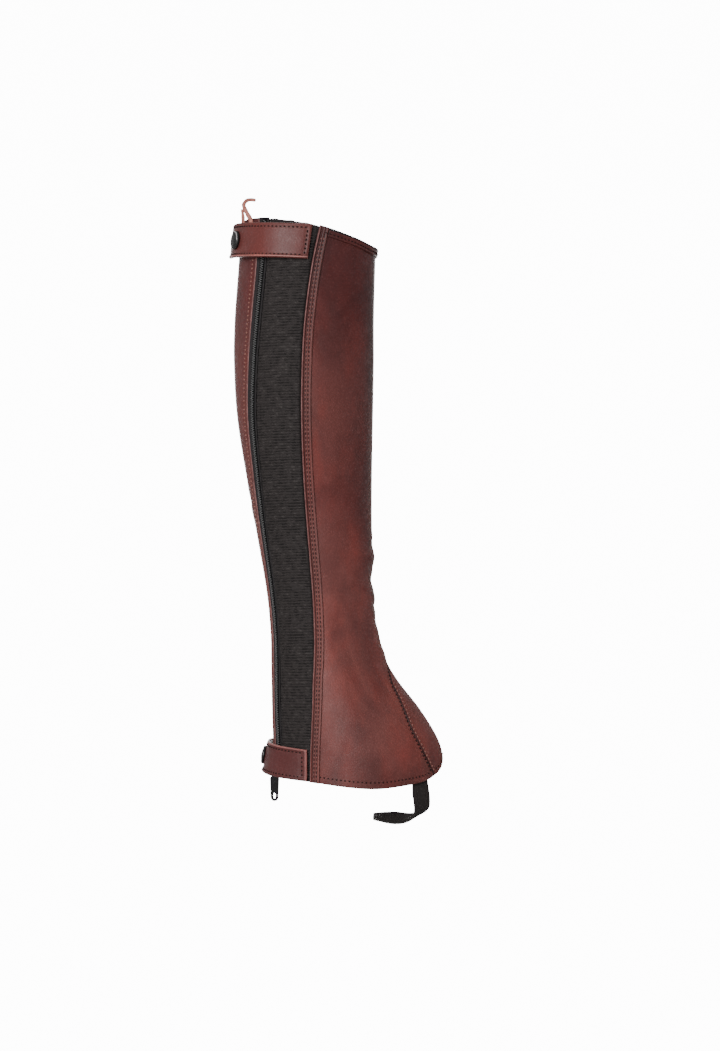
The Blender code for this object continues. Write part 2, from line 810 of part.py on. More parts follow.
def main():
    for old in list(bpy.data.objects):
        bpy.data.objects.remove(old, do_unlink=True)
    gaiter = bpy.data.collections.new("riding_gaiter")
    cutters = bpy.data.collections.new("riding_gaiter_cutters")
    for collection in (gaiter, cutters):
        bpy.context.scene.collection.children.link(collection)
    leather_wrap(gaiter)
    instep_gusset(gaiter)
    elastic_panel(gaiter)
    side_binding(gaiter)
    top_band(gaiter)
    top_facing(gaiter)
    zip_parts(gaiter)
    zip_slider(gaiter, cutters)
    zip_pull_tab(gaiter)
    for strap in (TOP_STRAP, BOTTOM_STRAP):
        strap_piece(strap, gaiter)
        press_stud(strap, gaiter)
    foot_strap(gaiter)
    thong("top_thong", THONG, gaiter)
    thong("top_thong_tail", THONG_TAIL, gaiter)


main()
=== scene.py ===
import math
from collections import namedtuple

import bmesh
import bpy
import numpy as np
from mathutils import Matrix, Vector


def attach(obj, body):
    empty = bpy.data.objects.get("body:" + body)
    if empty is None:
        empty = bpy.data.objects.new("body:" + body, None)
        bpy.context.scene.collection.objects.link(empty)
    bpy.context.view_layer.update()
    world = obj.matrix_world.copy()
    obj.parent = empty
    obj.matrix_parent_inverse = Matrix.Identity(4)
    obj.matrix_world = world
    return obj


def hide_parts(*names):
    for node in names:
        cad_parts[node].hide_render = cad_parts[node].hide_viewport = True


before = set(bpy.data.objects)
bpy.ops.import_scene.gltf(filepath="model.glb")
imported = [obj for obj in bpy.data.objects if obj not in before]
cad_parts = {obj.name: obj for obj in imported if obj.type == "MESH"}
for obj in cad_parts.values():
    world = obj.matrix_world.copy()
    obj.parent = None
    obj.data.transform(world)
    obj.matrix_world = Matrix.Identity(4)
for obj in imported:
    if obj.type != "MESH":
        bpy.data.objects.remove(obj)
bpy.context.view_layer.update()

# The leg's shape, in millimetres and degrees as in the frame: an angle runs round the leg from the shin at
# 0 over the outer side at 90 to the back at 180, and a height is measured up from the hem's lowest point.
MM = 0.001
ORIGIN_HEIGHT = 335.0
LEATHER_THICKNESS = 2.0
GAP = 0.35
SEAM = 0.5

Section = namedtuple("Section", "height back front half_width narrowing zip_angle side_angle")
SECTIONS = (
    Section(0, -23.3, 108.0, 46.0, 0.36, 160.0, 124.2),
    Section(22, -23.8, 108.2, 45.5, 0.36, 159.0, 123.6),
    Section(37, -24.2, 104.0, 45.0, 0.36, 158.8, 121.8),
    Section(60, -24.9, 90.0, 43.0, 0.34, 158.0, 116.4),
    Section(81, -25.3, 73.7, 41.0, 0.30, 155.9, 109.8),
    Section(97, -25.6, 64.2, 39.5, 0.25, 154.2, 104.4),
    Section(118, -26.0, 58.4, 38.5, 0.20, 154.0, 100.8),
    Section(150, -29.0, 54.2, 38.5, 0.14, 153.1, 97.9),
    Section(197, -37.0, 53.0, 41.5, 0.10, 149.6, 96.2),
    Section(240, -44.8, 53.0, 46.0, 0.08, 144.5, 94.7),
    Section(287, -52.1, 53.8, 50.5, 0.07, 139.7, 92.6),
    Section(330, -54.6, 54.5, 52.5, 0.06, 134.6, 90.9),
    Section(362, -54.0, 54.5, 53.0, 0.06, 131.6, 89.0),
    Section(404, -51.0, 55.5, 52.5, 0.06, 129.8, 85.0),
    Section(440, -48.5, 56.5, 51.5, 0.06, 129.6, 78.3),
)

# Soft folds of the leather round the ankle: their middle, how far they rise, and how far they reach.
Fold = namedtuple("Fold", "height angle rise half_height half_angle")
FOLDS = (
    Fold(178, 8, 1.8, 11, 62),
    Fold(160, -4, -1.4, 8, 58),
    Fold(146, 16, 1.0, 9, 46),
    Fold(128, -10, -0.9, 9, 44),
    Fold(103, 0, 0.8, 9, 34),
    Fold(191, -92, -1.3, 10, 50),
    Fold(172, -104, 1.3, 9, 46),
    Fold(155, -84, -1.2, 9, 48),
    Fold(214, -160, 1.0, 13, 36),
)
Edge = namedtuple("Edge", "angle height")
TOP_EDGE = (
    Edge(-230, 438.0),
    Edge(-180, 437.5),
    Edge(-130, 430.0),
    Edge(-90, 422.5),
    Edge(-45, 416.8),
    Edge(0, 417.0),
    Edge(25, 418.8),
    Edge(50, 424.2),
    Edge(90, 433.4),
    Edge(130, 438.0),
    Edge(180, 437.5),
    Edge(230, 430.0),
)
HEM_EDGE = (
    Edge(-14, 13.5),
    Edge(0, 20.5),
    Edge(14, 13.5),
    Edge(35, 5.6),
    Edge(56, 2.0),
    Edge(82, 0.0),
    Edge(124, 5.0),
    Edge(155, 9.0),
    Edge(180, 10.0),
)
Wedge = namedtuple("Wedge", "height half_angle")
GUSSET = (
    Wedge(0, 22.0),
    Wedge(9, 27.3),
    Wedge(25, 38.0),
    Wedge(42, 42.0),
    Wedge(56, 39.0),
    Wedge(72, 32.0),
    Wedge(84, 24.0),
    Wedge(99, 0.0),
)
GUSSET_TIP = 99.0
FIT_ROUNDS = 14

# Trims, the zip and the straps, as in the frame.
BINDING_WIDTH = 7.6
BINDING_THICKNESS = 1.0
TOP_BAND_WIDTH = 6.4
TOP_BAND_THICKNESS = 1.1
TOP_BAND_FLARE = 0.5
TOP_BAND_END_ANGLE = -176.0
FACING_THICKNESS = 1.0
FACING_DEPTH = 22.0
FACING_RISE = 1.3
CHAIN_TOP_RISE = 1.0
CHAIN_FOOT = 26.1
TAPE_SINK = 0.5
TAPE_THICKNESS = 1.0
FRONT_TAPE_WIDTH = 3.8
BACK_TAPE_WIDTH = 5.2
Strap = namedtuple(
    "Strap",
    "name width middle rise end_gap free_angle"
    " sewn_lift upper_lift settled_lift lower_lift lift_angle snap_angle",
)
TOP_STRAP = Strap("top_strap", 27.0, 419.3, 3.6, 4.6, 177.0, 0.5, 3.5, 3.5, 4.5, 124.0, 158.5)
BOTTOM_STRAP = Strap("bottom_strap", 24.6, 17.8, 8.6, 1.7, 203.0, 0.5, 3.0, 1.2, 6.4, 149.0, 182.5)
STRAP_SETTLE_ANGLE = 163.0
STRAP_THICKNESS = 2.4
STRAP_CORNER = 4.0
STRAP_END_LEAN = 0.5
CAP_RADIUS = 7.2

# How finely the cloth is cut into faces.
GRID_STEP = 2.2
EDGE_STEPS = (0.0, 0.25, 0.6, 1.1, 1.8)


def mix(a, b, share):
    return a + (b - a) * share


def bell(distance):
    """1 at the middle, falling smoothly to 0 at a distance of 1 and beyond."""
    return np.where(np.abs(distance) < 1.0, np.cos(np.clip(distance, -1, 1) * math.pi / 2) ** 2, 0.0)


def wrapped(angle):
    return (angle + 180.0) % 360.0 - 180.0


def table_value(rows, column, at):
    """A smooth curve through one column of a table, read at values of its first column."""
    places = np.array([row[0] for row in rows], float)
    values = np.array([getattr(row, column) for row in rows], float)
    last = len(rows) - 1
    before = np.maximum(np.arange(last + 1) - 1, 0)
    after = np.minimum(np.arange(last + 1) + 1, last)
    slopes = (values[after] - values[before]) / (places[after] - places[before])
    at = np.clip(np.asarray(at, float), places[0], places[last])
    i = np.clip(np.searchsorted(places, at, side="right") - 1, 0, last - 1)
    span = places[i + 1] - places[i]
    t = (at - places[i]) / span
    rise_in = slopes[i] * span
    rise_out = slopes[i + 1] * span
    bend = 2 * (values[i] - values[i + 1]) + rise_in + rise_out
    return values[i] + rise_in * t + (values[i + 1] - values[i] - rise_in - bend) * t**2 + bend * t**3


def fold_rise(angle, height):
    rise = 0.0
    for f in FOLDS:
        reach = bell((height - f.height) / f.half_height) * bell(wrapped(angle - f.angle) / f.half_angle)
        rise = rise + f.rise * reach
    return rise


def leg_face(angle, height):
    """Points on the wall's outer face, in millimetres from the leg's axis and the hem."""
    angle, height = np.broadcast_arrays(np.asarray(angle, float), np.asarray(height, float))
    back = table_value(SECTIONS, "back", height)
    front = table_value(SECTIONS, "front", height)
    half_width = table_value(SECTIONS, "half_width", height)
    narrowing = table_value(SECTIONS, "narrowing", height)
    forward = np.cos(np.radians(angle))
    outward = np.sin(np.radians(angle))
    rise = fold_rise(angle, height)
    x = (front + back) / 2 + ((front - back) / 2 + rise) * forward
    y = -(half_width * (1 - narrowing * np.maximum(forward, 0.0) ** 2) + rise) * outward
    return np.stack([x, y, height], axis=-1)


def unit(vectors):
    return vectors / np.maximum(np.linalg.norm(vectors, axis=-1, keepdims=True), 1e-12)


def leg_normal(angle, height):
    along = leg_face(angle - 1, height) - leg_face(angle + 1, height)
    up = leg_face(angle, height + 1) - leg_face(angle, height - 1)
    return unit(np.cross(along, up))


def to_metres(points):
    return (np.asarray(points) - np.array([0.0, 0.0, ORIGIN_HEIGHT])) * MM


def leg_point(angle, height, out=0.0):
    """Points in metres, moved out from the wall's outer face along its normal."""
    out = np.asarray(out, float)[..., None]
    return to_metres(leg_face(angle, height) + leg_normal(angle, height) * out)


def top_height(angle):
    return table_value(TOP_EDGE, "height", angle)


def hem_height(angle):
    return table_value(HEM_EDGE, "height", np.abs(wrapped(angle)))


def degree_length(angle, height):
    return np.linalg.norm(leg_face(angle + 0.5, height) - leg_face(angle - 0.5, height), axis=-1)


def turn_for(angle, height, distance):
    """The change of angle that moves a point this distance round the leg."""
    return distance / degree_length(angle, height)


def side_angle(height):
    return table_value(SECTIONS, "side_angle", height)


def zip_angle(height):
    return table_value(SECTIONS, "zip_angle", height)


def beside_side(height, distance):
    return side_angle(height) + turn_for(side_angle(height), height, distance)


def beside_zip(height, distance):
    return zip_angle(height) + turn_for(zip_angle(height), height, distance)


def side_line(distance):
    """A line down the wall, this far back from the side seam."""
    return lambda height: beside_side(height, distance)


def zip_line(distance):
    """A line down the wall, this far back from the middle of the zip."""
    return lambda height: beside_zip(height, distance)


def top_line(rise):
    """A line round the wall, this far above the top edge."""
    return lambda angle: top_height(angle) + rise


def gusset_angle(height):
    share = np.maximum(table_value(GUSSET, "half_angle", height), 0.0)
    return np.where(np.asarray(height) >= GUSSET_TIP, 0.0, share)


def wrap_back_edge(height):
    return beside_zip(height, BACK_TAPE_WIDTH + SEAM) - 360.0


def spaced(length, step=GRID_STEP):
    """Places from 0 to 1 along a length, closer together by its edges."""
    low = EDGE_STEPS[-1]
    high = length - low
    middle = list(np.linspace(low, high, max(int(round((high - low) / step)), 2) + 1))
    places = list(EDGE_STEPS[:-1]) + middle + [length - e for e in EDGE_STEPS[:-1]][::-1]
    return np.array(places) / length


def wall_places(start, end, columns, shares, low=hem_height, high=top_height):
    """Angles and heights of a wall's grid, rows first. A point's angle and height follow each other."""
    share = np.asarray(shares)[:, None]
    across = np.asarray(columns)[None, :]
    height = mix(low(0.0), high(0.0), share) + 0.0 * across
    for _ in range(FIT_ROUNDS):
        angle = mix(start(height), end(height), across)
        height = mix(low(angle), high(angle), share)
    return angle, height


def edge_roll(distance, radius=0.9, depth=0.55):
    """How far a rounded edge falls in, at a distance from the edge."""
    t = np.clip(distance / radius, 0.0, 1.0)
    return -depth * (1 - np.sqrt(1 - (1 - t) ** 2))


def add_piece(name, mesh, materials, body="gaiter"):
    made = bpy.data.objects.new(name, mesh)
    for one in materials:
        mesh.materials.append(one)
    bpy.context.scene.collection.objects.link(made)
    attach(made, body)
    return made


def weld(mesh, distance=0.00002):
    bm = bmesh.new()
    bm.from_mesh(mesh)
    bmesh.ops.remove_doubles(bm, verts=bm.verts, dist=distance)
    bm.to_mesh(mesh)
    bm.free()


def smooth_mesh(name, verts, faces):
    mesh = bpy.data.meshes.new(name)
    mesh.from_pydata(verts, [], faces)
    mesh.shade_smooth()
    return mesh


def ring_faces(rings, sides, base=0):
    """Faces between rings of points. They face out where the rings run clockwise, seen from the last."""
    faces = []
    for r in range(rings - 1):
        for k in range(sides):
            j = (k + 1) % sides
            a, b = base + r * sides, base + (r + 1) * sides
            faces.append((a + k, b + k, b + j, a + j))
    return faces


def tube_faces(rings, sides, base=0):
    """The faces of a tube of rings of points, closed at both ends."""
    last = base + (rings - 1) * sides
    ends = [tuple(range(base, base + sides)), tuple(range(last, last + sides))[::-1]]
    return ring_faces(rings, sides, base) + ends


def mesh_from_grids(name, grids):
    points, faces = [], []
    base = 0
    for grid in grids:
        rows, columns = grid.shape[:2]
        index = base + np.arange(rows * columns).reshape(rows, columns)
        quads = np.stack([index[:-1, :-1], index[:-1, 1:], index[1:, 1:], index[1:, :-1]], axis=-1)
        points.append(grid.reshape(-1, 3))
        faces.append(quads.reshape(-1, 4))
        base += rows * columns
    return smooth_mesh(name, np.concatenate(points).tolist(), np.concatenate(faces).tolist())


def cloth(name, grids, thickness, materials):
    """A thin shell: the grids are its outer face. Materials are for face, inside and cut edge."""
    made = add_piece(name, mesh_from_grids(name, grids), materials)
    solid = made.modifiers.new("thickness", "SOLIDIFY")
    solid.thickness = thickness * MM
    solid.offset = -1.0
    solid.material_offset = 1
    solid.material_offset_rim = 2
    return made


# Materials
class Shader:
    """A node tree that is built from the surface back."""

    def __init__(self, name, colour=(0.5, 0.5, 0.5), roughness=0.5, metallic=0.0):
        self.material = bpy.data.materials.new(name)
        self.material.use_nodes = True
        self.tree = self.material.node_tree
        self.surface = self.tree.nodes["Principled BSDF"]
        self.set(Base_Color=colour, Roughness=roughness, Metallic=metallic)
        self.place = self.node("ShaderNodeTexCoord").outputs["Object"]
        self.material.diffuse_color = (*colour, 1.0)

    def node(self, kind, inputs=None, **settings):
        made = self.tree.nodes.new(kind)
        for key, value in settings.items():
            setattr(made, key, value)
        for key, value in (inputs or {}).items():
            self.put(made.inputs[key], value)
        return made

    def put(self, socket, value):
        """Links an output to a socket, or gives the socket a value. A colour has three numbers here."""
        if isinstance(value, bpy.types.NodeSocket):
            self.tree.links.new(value, socket)
        elif socket.type == "RGBA":
            socket.default_value = (*value, 1.0)
        else:
            socket.default_value = value

    def set(self, **values):
        for key, value in values.items():
            self.put(self.surface.inputs[key.replace("_", " ")], value)

    def noise(self, scale, detail=3.0, roughness=0.5, stretch=(1.0, 1.0, 1.0), distortion=0.0):
        mapping = self.node("ShaderNodeMapping", {"Vector": self.place, "Scale": stretch})
        made = self.node("ShaderNodeTexNoise", {
            "Vector": mapping.outputs["Vector"], "Scale": scale, "Detail": detail,
            "Roughness": roughness, "Distortion": distortion,
        })
        return made.outputs["Fac"]

    def cells(self, scale, feature="F1"):
        made = self.node("ShaderNodeTexVoronoi", {"Vector": self.place}, feature=feature)
        self.put(made.inputs["Scale"], scale)
        return made.outputs["Distance"]

    def axis(self, name):
        return self.node("ShaderNodeSeparateXYZ", {"Vector": self.place}).outputs[name]

    def span(self, value, low, high, to_low=0.0, to_high=1.0):
        made = self.node("ShaderNodeMapRange", {
            "Value": value, "From Min": low, "From Max": high, "To Min": to_low, "To Max": to_high,
        })
        return made.outputs["Result"]

    def ramp(self, value, stops):
        made = self.node("ShaderNodeValToRGB", {"Fac": value})
        bands = made.color_ramp.elements
        while len(bands) < len(stops):
            bands.new(0.5)
        for band, (place, colour) in zip(bands, stops):
            band.position = place
            band.color = (*colour, 1.0)
        return made.outputs["Color"]

    def blend(self, a, b, factor, mode="MIX"):
        made = self.node("ShaderNodeMix", data_type="RGBA", blend_type=mode)
        for socket, value in ((made.inputs[6], a), (made.inputs[7], b), (made.inputs[0], factor)):
            self.put(socket, value)
        return made.outputs[2]

    def math(self, operation, a, b):
        return self.node("ShaderNodeMath", {0: a, 1: b}, operation=operation).outputs[0]

    def bump(self, layers):
        """Layers of relief: each is an output and its height in millimetres."""
        normal = {}
        for output, depth in layers:
            made = self.node("ShaderNodeBump", {"Distance": depth * MM, "Height": output, **normal})
            normal = {"Normal": made.outputs["Normal"]}
        self.set(**normal)


def leather(name, stops, roughness=0.44, blotch=0.35, grain=0.05, coat=0.03):
    """Smooth dyed leather. Stops give its colour from the hem up to the top edge."""
    s = Shader(name, stops[0][1], roughness)
    base = s.ramp(s.span(s.axis("Z"), -0.34, 0.11), stops)
    patches = s.noise(24.0, 3.0, 0.55, (1.0, 1.0, 0.55), 0.5)
    dark = s.blend(base, (0.34, 0.34, 0.38), 1.0, "MULTIPLY")
    mottled = s.blend(base, dark, s.span(patches, 0.46, 0.64, 0.0, blotch * 1.5))
    warm = s.blend(mottled, (0.95, 0.45, 0.38), 1.0, "SOFT_LIGHT")
    streaks = s.noise(34.0, 4.0, 0.6, (1.0, 1.0, 0.4))
    toned = s.blend(mottled, warm, s.span(streaks, 0.42, 0.68, 0.0, blotch * 1.2))
    s.set(Base_Color=toned)
    pores = s.cells(1500.0)
    creases = s.cells(620.0, "DISTANCE_TO_EDGE")
    fine = s.noise(900.0, 2.0, 0.6)
    soft = s.noise(60.0, 2.0, 0.5)
    s.set(Roughness=s.span(s.noise(120.0, 3.0, 0.6), 0.3, 0.7, roughness - 0.06, roughness + 0.08))
    s.bump([(soft, 0.5), (s.span(creases, 0.0, 0.12), grain), (pores, grain * 0.5), (fine, grain * 0.6)])
    s.set(Coat_Weight=coat, Coat_Roughness=0.25, Specular_IOR_Level=0.18)
    return s.material


def raw_edge(name, colour, dark):
    """The cut or turned edge of leather, with its fibres."""
    s = Shader(name, colour, 0.5)
    fibres = s.span(s.noise(420.0, 3.0, 0.7, (1.0, 1.0, 0.3)), 0.35, 0.7)
    s.set(Base_Color=s.blend(colour, dark, fibres))
    s.bump([(s.noise(1800.0, 2.0, 0.6), 0.06)])
    s.set(Specular_IOR_Level=0.25)
    return s.material


def suede(name, colour, dark):
    """The flesh side of leather."""
    s = Shader(name, colour, 0.85)
    s.set(Base_Color=s.blend(colour, dark, s.span(s.noise(90.0, 4.0, 0.65), 0.35, 0.7)))
    s.bump([(s.noise(1600.0, 3.0, 0.7), 0.12)])
    s.set(Sheen_Weight=0.25, Sheen_Roughness=0.5)
    return s.material


def woven(name, colour, light, roughness=0.75, scale=1500.0, sheen=0.1):
    s = Shader(name, colour, roughness)
    s.set(Base_Color=s.blend(colour, light, s.span(s.noise(scale, 2.0, 0.6), 0.35, 0.75)))
    s.bump([(s.noise(scale * 1.2, 2.0, 0.6), 0.1)])
    s.set(Sheen_Weight=sheen, Sheen_Roughness=0.4, Specular_IOR_Level=0.15)
    return s.material


def hard(name, colour, roughness, metallic=0.0, coat=0.0):
    s = Shader(name, colour, roughness, metallic)
    s.set(Roughness=s.span(s.noise(160.0, 3.0, 0.6), 0.3, 0.7, roughness - 0.05, roughness + 0.1))
    s.bump([(s.noise(700.0, 2.0, 0.5), 0.02)])
    s.set(Coat_Weight=coat, Coat_Roughness=0.15)
    return s.material


# The wrap's colour by height, lightest by the ankle and darkest at the top: partly the leather's own tone,
# partly painted light and shade.
LEATHER = leather(
    "leather",
    [
        (0.0, (0.118, 0.038, 0.034)),
        (0.22, (0.140, 0.045, 0.039)),
        (0.34, (0.142, 0.046, 0.040)),
        (0.5, (0.102, 0.031, 0.028)),
        (0.66, (0.108, 0.033, 0.029)),
        (0.86, (0.074, 0.023, 0.022)),
        (1.0, (0.069, 0.0215, 0.0215)),
    ],
)
STRAP_LEATHER = leather(
    "strap_leather",
    [(0.0, (0.078, 0.024, 0.023)), (0.3, (0.078, 0.024, 0.023)), (1.0, (0.098, 0.031, 0.028))],
    roughness=0.4, blotch=0.2,
)
LIT_EDGE = raw_edge("lit_edge", (0.210, 0.098, 0.092), (0.100, 0.036, 0.034))
# Leather edge colour painted dark: the shade in the gusset seam, and in the side strip's groove and stitch
# rows.
SHADED_LEATHER_EDGE = raw_edge("shaded_leather_edge", (0.050, 0.015, 0.014), (0.020, 0.007, 0.007))
SUEDE = suede("suede", (0.200, 0.110, 0.085), (0.120, 0.062, 0.048))
# Lighter leather for the side strip's raised outer edge: a painted highlight.
RIDGE_HIGHLIGHT_LEATHER = leather("worn_leather", [(0.0, (0.165, 0.066, 0.060)), (1.0, (0.110, 0.042, 0.039))], blotch=0.2)
# Lighter leather for the straps' rolled edges and ends: a painted highlight.
STRAP_EDGE_HIGHLIGHT = leather("worn_strap", [(0.0, (0.230, 0.098, 0.092)), (1.0, (0.340, 0.150, 0.135))], blotch=0.3)
THONG_LEATHER = raw_edge("thong_leather", (0.470, 0.190, 0.150), (0.190, 0.060, 0.048))
# Elastic painted darker: the shade in the hollows between ribs and along the edges that run under the
# leather.
ELASTIC_SHADE = woven("elastic_painted_shade", (0.008, 0.007, 0.007), (0.015, 0.0125, 0.0125), 0.9, 1300.0, 0.0)
# Elastic painted lighter: highlights on scattered rib tops.
ELASTIC_HIGHLIGHT = woven("elastic_painted_highlight", (0.028, 0.024, 0.023), (0.048, 0.041, 0.040), 0.7, 1300.0, 0.02)
# Near-black tape colour painted as the shade in the groove beside the zip's chain.
TAPE_GROOVE_SHADE = woven("tape_groove_shade", (0.002, 0.002, 0.002), (0.004, 0.004, 0.004), 0.9, 1300.0, 0.0)
ELASTIC = woven("elastic", (0.018, 0.0148, 0.0146), (0.032, 0.0265, 0.026), 0.75, 1300.0, 0.02)
TAPE = woven("zip_tape", (0.014, 0.012, 0.013), (0.032, 0.028, 0.029), 0.85, 1500.0, 0.0)
COIL = hard("zip_coil", (0.075, 0.073, 0.074), 0.42)
FACING = woven("black_facing", (0.010, 0.009, 0.010), (0.018, 0.017, 0.018), 0.6, 900.0, 0.05)
THREAD_DARK = woven("thread_dark", (0.012, 0.005, 0.005), (0.022, 0.008, 0.008), 0.8, 2400.0, 0.0)
THREAD_MID = woven("thread_mid", (0.150, 0.062, 0.056), (0.215, 0.094, 0.084), 0.7, 2400.0, 0.0)
THREAD_LIGHT = woven("thread_light", (0.190, 0.085, 0.072), (0.260, 0.120, 0.100), 0.7, 2400.0, 0.0)
BLACK_METAL = hard("black_metal", (0.012, 0.012, 0.013), 0.32, 0.6, 0.3)
CAP_BLACK = hard("cap_black", (0.008, 0.008, 0.008), 0.34)
# Pale metal painted on an arc of the top cap's rim as a highlight.
CAP_RIM_HIGHLIGHT = hard("cap_rim", (0.620, 0.580, 0.590), 0.3, 0.6)


# The leather panels. Rows of stitches lie this far in from the hem, the gusset's seam and the zip's edge.
HEM_STITCH_LINE = 5.0
SEAM_STITCH_LINE = 1.9
GUSSET_STITCH_LINE = 2.0
ZIP_STITCH_LINE = 4.6
ZIP_EDGE_GROOVE = 2.4
BACK_ANGLE = -150.0
# How far the painted shade along the gusset seam reaches.
SEAM_SHADE_WIDTH = 1.5
LIT_BACK_EDGE = 1.4


def past_gusset(angle, height):
    """The distance from the gusset's seam, on the wrap's side of it."""
    return (np.abs(wrapped(angle)) - gusset_angle(height)) * degree_length(angle, height)


def from_back_edge(angle, height):
    return (angle - wrap_back_edge(height)) * degree_length(angle, height)


def hem_relief(hem):
    return edge_roll(hem, 1.2, 0.7) - 0.35 * bell((hem - HEM_STITCH_LINE) / 1.1)


def seam_relief(seam, line):
    return edge_roll(seam, 1.2, 1.5) - 0.4 * bell((seam - line) / 0.8)


def wrap_relief(angle, height):
    """The outer leather's own relief: rolled edges, grooves along the stitching and soft creases."""
    hem = height - hem_height(angle)
    relief = hem_relief(hem) + 0.10 * np.sin(angle * 3.1) * bell((hem - 2.6) / 2.8)
    near_seam = (height < GUSSET_TIP) & (np.abs(wrapped(angle)) < 100)
    seam = seam_relief(past_gusset(angle, height), SEAM_STITCH_LINE)
    back = from_back_edge(angle, height)
    grooves = 0.5 * bell((back - ZIP_EDGE_GROOVE) / 1.0) + 0.35 * bell((back - ZIP_STITCH_LINE) / 1.0)
    relief = relief + np.where(near_seam, seam, 0.0)
    relief = relief + np.where(angle < BACK_ANGLE, edge_roll(back, 1.0, 0.6) - grooves, 0.0)
    return relief + creases(angle, height)


# Creases, listed: from one place to another, how deep and how wide. A bend lifts a line's middle.
Crease = namedtuple("Crease", "angle height end_angle end_height depth width bend")
CREASES = (
    Crease(62, 176, 6, 168, -0.9, 4.5, 3),
    Crease(48, 190, -8, 196, 0.7, 6.0, -2),
    Crease(58, 158, 18, 150, 0.6, 5.0, 2),
    Crease(30, 136, -34, 140, -0.7, 5.0, 2),
    Crease(44, 121, 8, 112, -0.5, 6.0, 2),
    Crease(70, 100, 40, 60, 0.5, 9.0, 3),
    Crease(88, 84, 60, 34, -0.4, 9.0, 2),
    Crease(50, 214, 10, 222, -0.4, 7.0, 2),
    Crease(-70, 182, -130, 176, -0.8, 4.5, 3),
    Crease(-62, 166, -118, 160, 0.7, 5.0, -3),
    Crease(-84, 146, -142, 152, -0.6, 5.0, 3),
    Crease(-48, 124, -96, 112, 0.5, 7.0, 2),
    Crease(-150, 212, -190, 222, -0.6, 6.0, 2),
    Crease(-146, 236, -186, 230, 0.5, 7.0, -2),
    Crease(-40, 90, -70, 46, -0.4, 9.0, 2),
    Crease(74, 300, 40, 250, 0.35, 12.0, 3),
    Crease(30, 360, 60, 300, -0.3, 14.0, 3),
    Crease(-30, 330, -70, 280, 0.35, 13.0, 2),
    Crease(-100, 360, -140, 310, -0.35, 13.0, 2),
)
CREASE_DEGREE = 0.85


def creases(angle, height):
    relief = 0.0
    for c in CREASES:
        dx = (c.end_angle - c.angle) * CREASE_DEGREE
        dy = c.end_height - c.height
        length = math.hypot(dx, dy)
        px = (angle - c.angle) * CREASE_DEGREE
        py = height - c.height
        along = (px * dx + py * dy) / length**2
        off = (px * dy - py * dx) / length - c.bend * (1 - (2 * along - 1) ** 2)
        ends = bell(np.clip(2 * along - 1, -1.2, 1.2) / 1.2)
        relief = relief + c.depth * ends * bell(off / c.width)
    return relief


WALL_HEIGHT = 430.0


def wrap_piece():
    rows = spaced(WALL_HEIGHT)

    def gusset_inner(height):
        return -gusset_angle(height)

    grids, slots = [], []
    for start, end, length in ((side_angle, gusset_angle, 90.0), (gusset_inner, wrap_back_edge, 215.0)):
        angle, height = wall_places(start, end, spaced(length), rows)
        grids.append(leg_point(angle, height, wrap_relief(angle, height)))
        near_edge = (angle < BACK_ANGLE) & (from_back_edge(angle, height) < LIT_BACK_EDGE)
        # Painted shade along the gusset seam.
        near_seam = (height < GUSSET_TIP + 2.0) & (past_gusset(angle, height) < SEAM_SHADE_WIDTH)
        slots.append(face_slots(angle.shape, [(near_edge, 3), (near_seam, 6)]))
    made = cloth("wrap", grids, LEATHER_THICKNESS, edged(LEATHER, LIT_EDGE, SHADED_LEATHER_EDGE))
    made.data.polygons.foreach_set("material_index", np.concatenate(slots))
    weld(made.data)
    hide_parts("leather_wrap")
    return made


GUSSET_LAP = 0.4


def gusset_piece():
    def outer_edge(height):
        angle = gusset_angle(height)
        return np.maximum(angle + turn_for(angle, height, GUSSET_LAP), 0.05)

    def inner_edge(height):
        return -outer_edge(height)

    def high(angle):
        return GUSSET_TIP - 1.0 + 0.0 * angle

    angle, height = wall_places(
        outer_edge, inner_edge, spaced(40.0, 1.4), spaced(90.0, 1.5), hem_height, high,
    )
    seam = (outer_edge(height) - np.abs(angle)) * degree_length(angle, height)
    relief = seam_relief(seam, GUSSET_STITCH_LINE) + hem_relief(height - hem_height(angle))
    relief = relief + creases(angle, height)
    made = cloth("gusset", [leg_point(angle, height, relief)], LEATHER_THICKNESS, edged(LEATHER, SHADED_LEATHER_EDGE))
    # Painted shade along the seam.
    paint(made, [(seam < SEAM_SHADE_WIDTH, 3)])
    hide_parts("instep_gusset")


# The ribbed elastic
RIB_PITCH = 2.2
RIB_DEPTH = 0.62
RIB_ROWS = 6
ELASTIC_LAP = 3.0
ELASTIC_SHELL = 1.2
# Rib levels below which hollows get painted shade and above which rib tops get painted highlights, on a
# scattered share of the ribs.
GAP_LEVEL = 0.42
CREST_LEVEL = 0.62


def scatter(a, b):
    """An even spread of values from 0 to 1 that looks random, the same each time."""
    return np.mod(np.sin(a * 12.9898 + b * 78.233) * 43758.5453, 1.0)


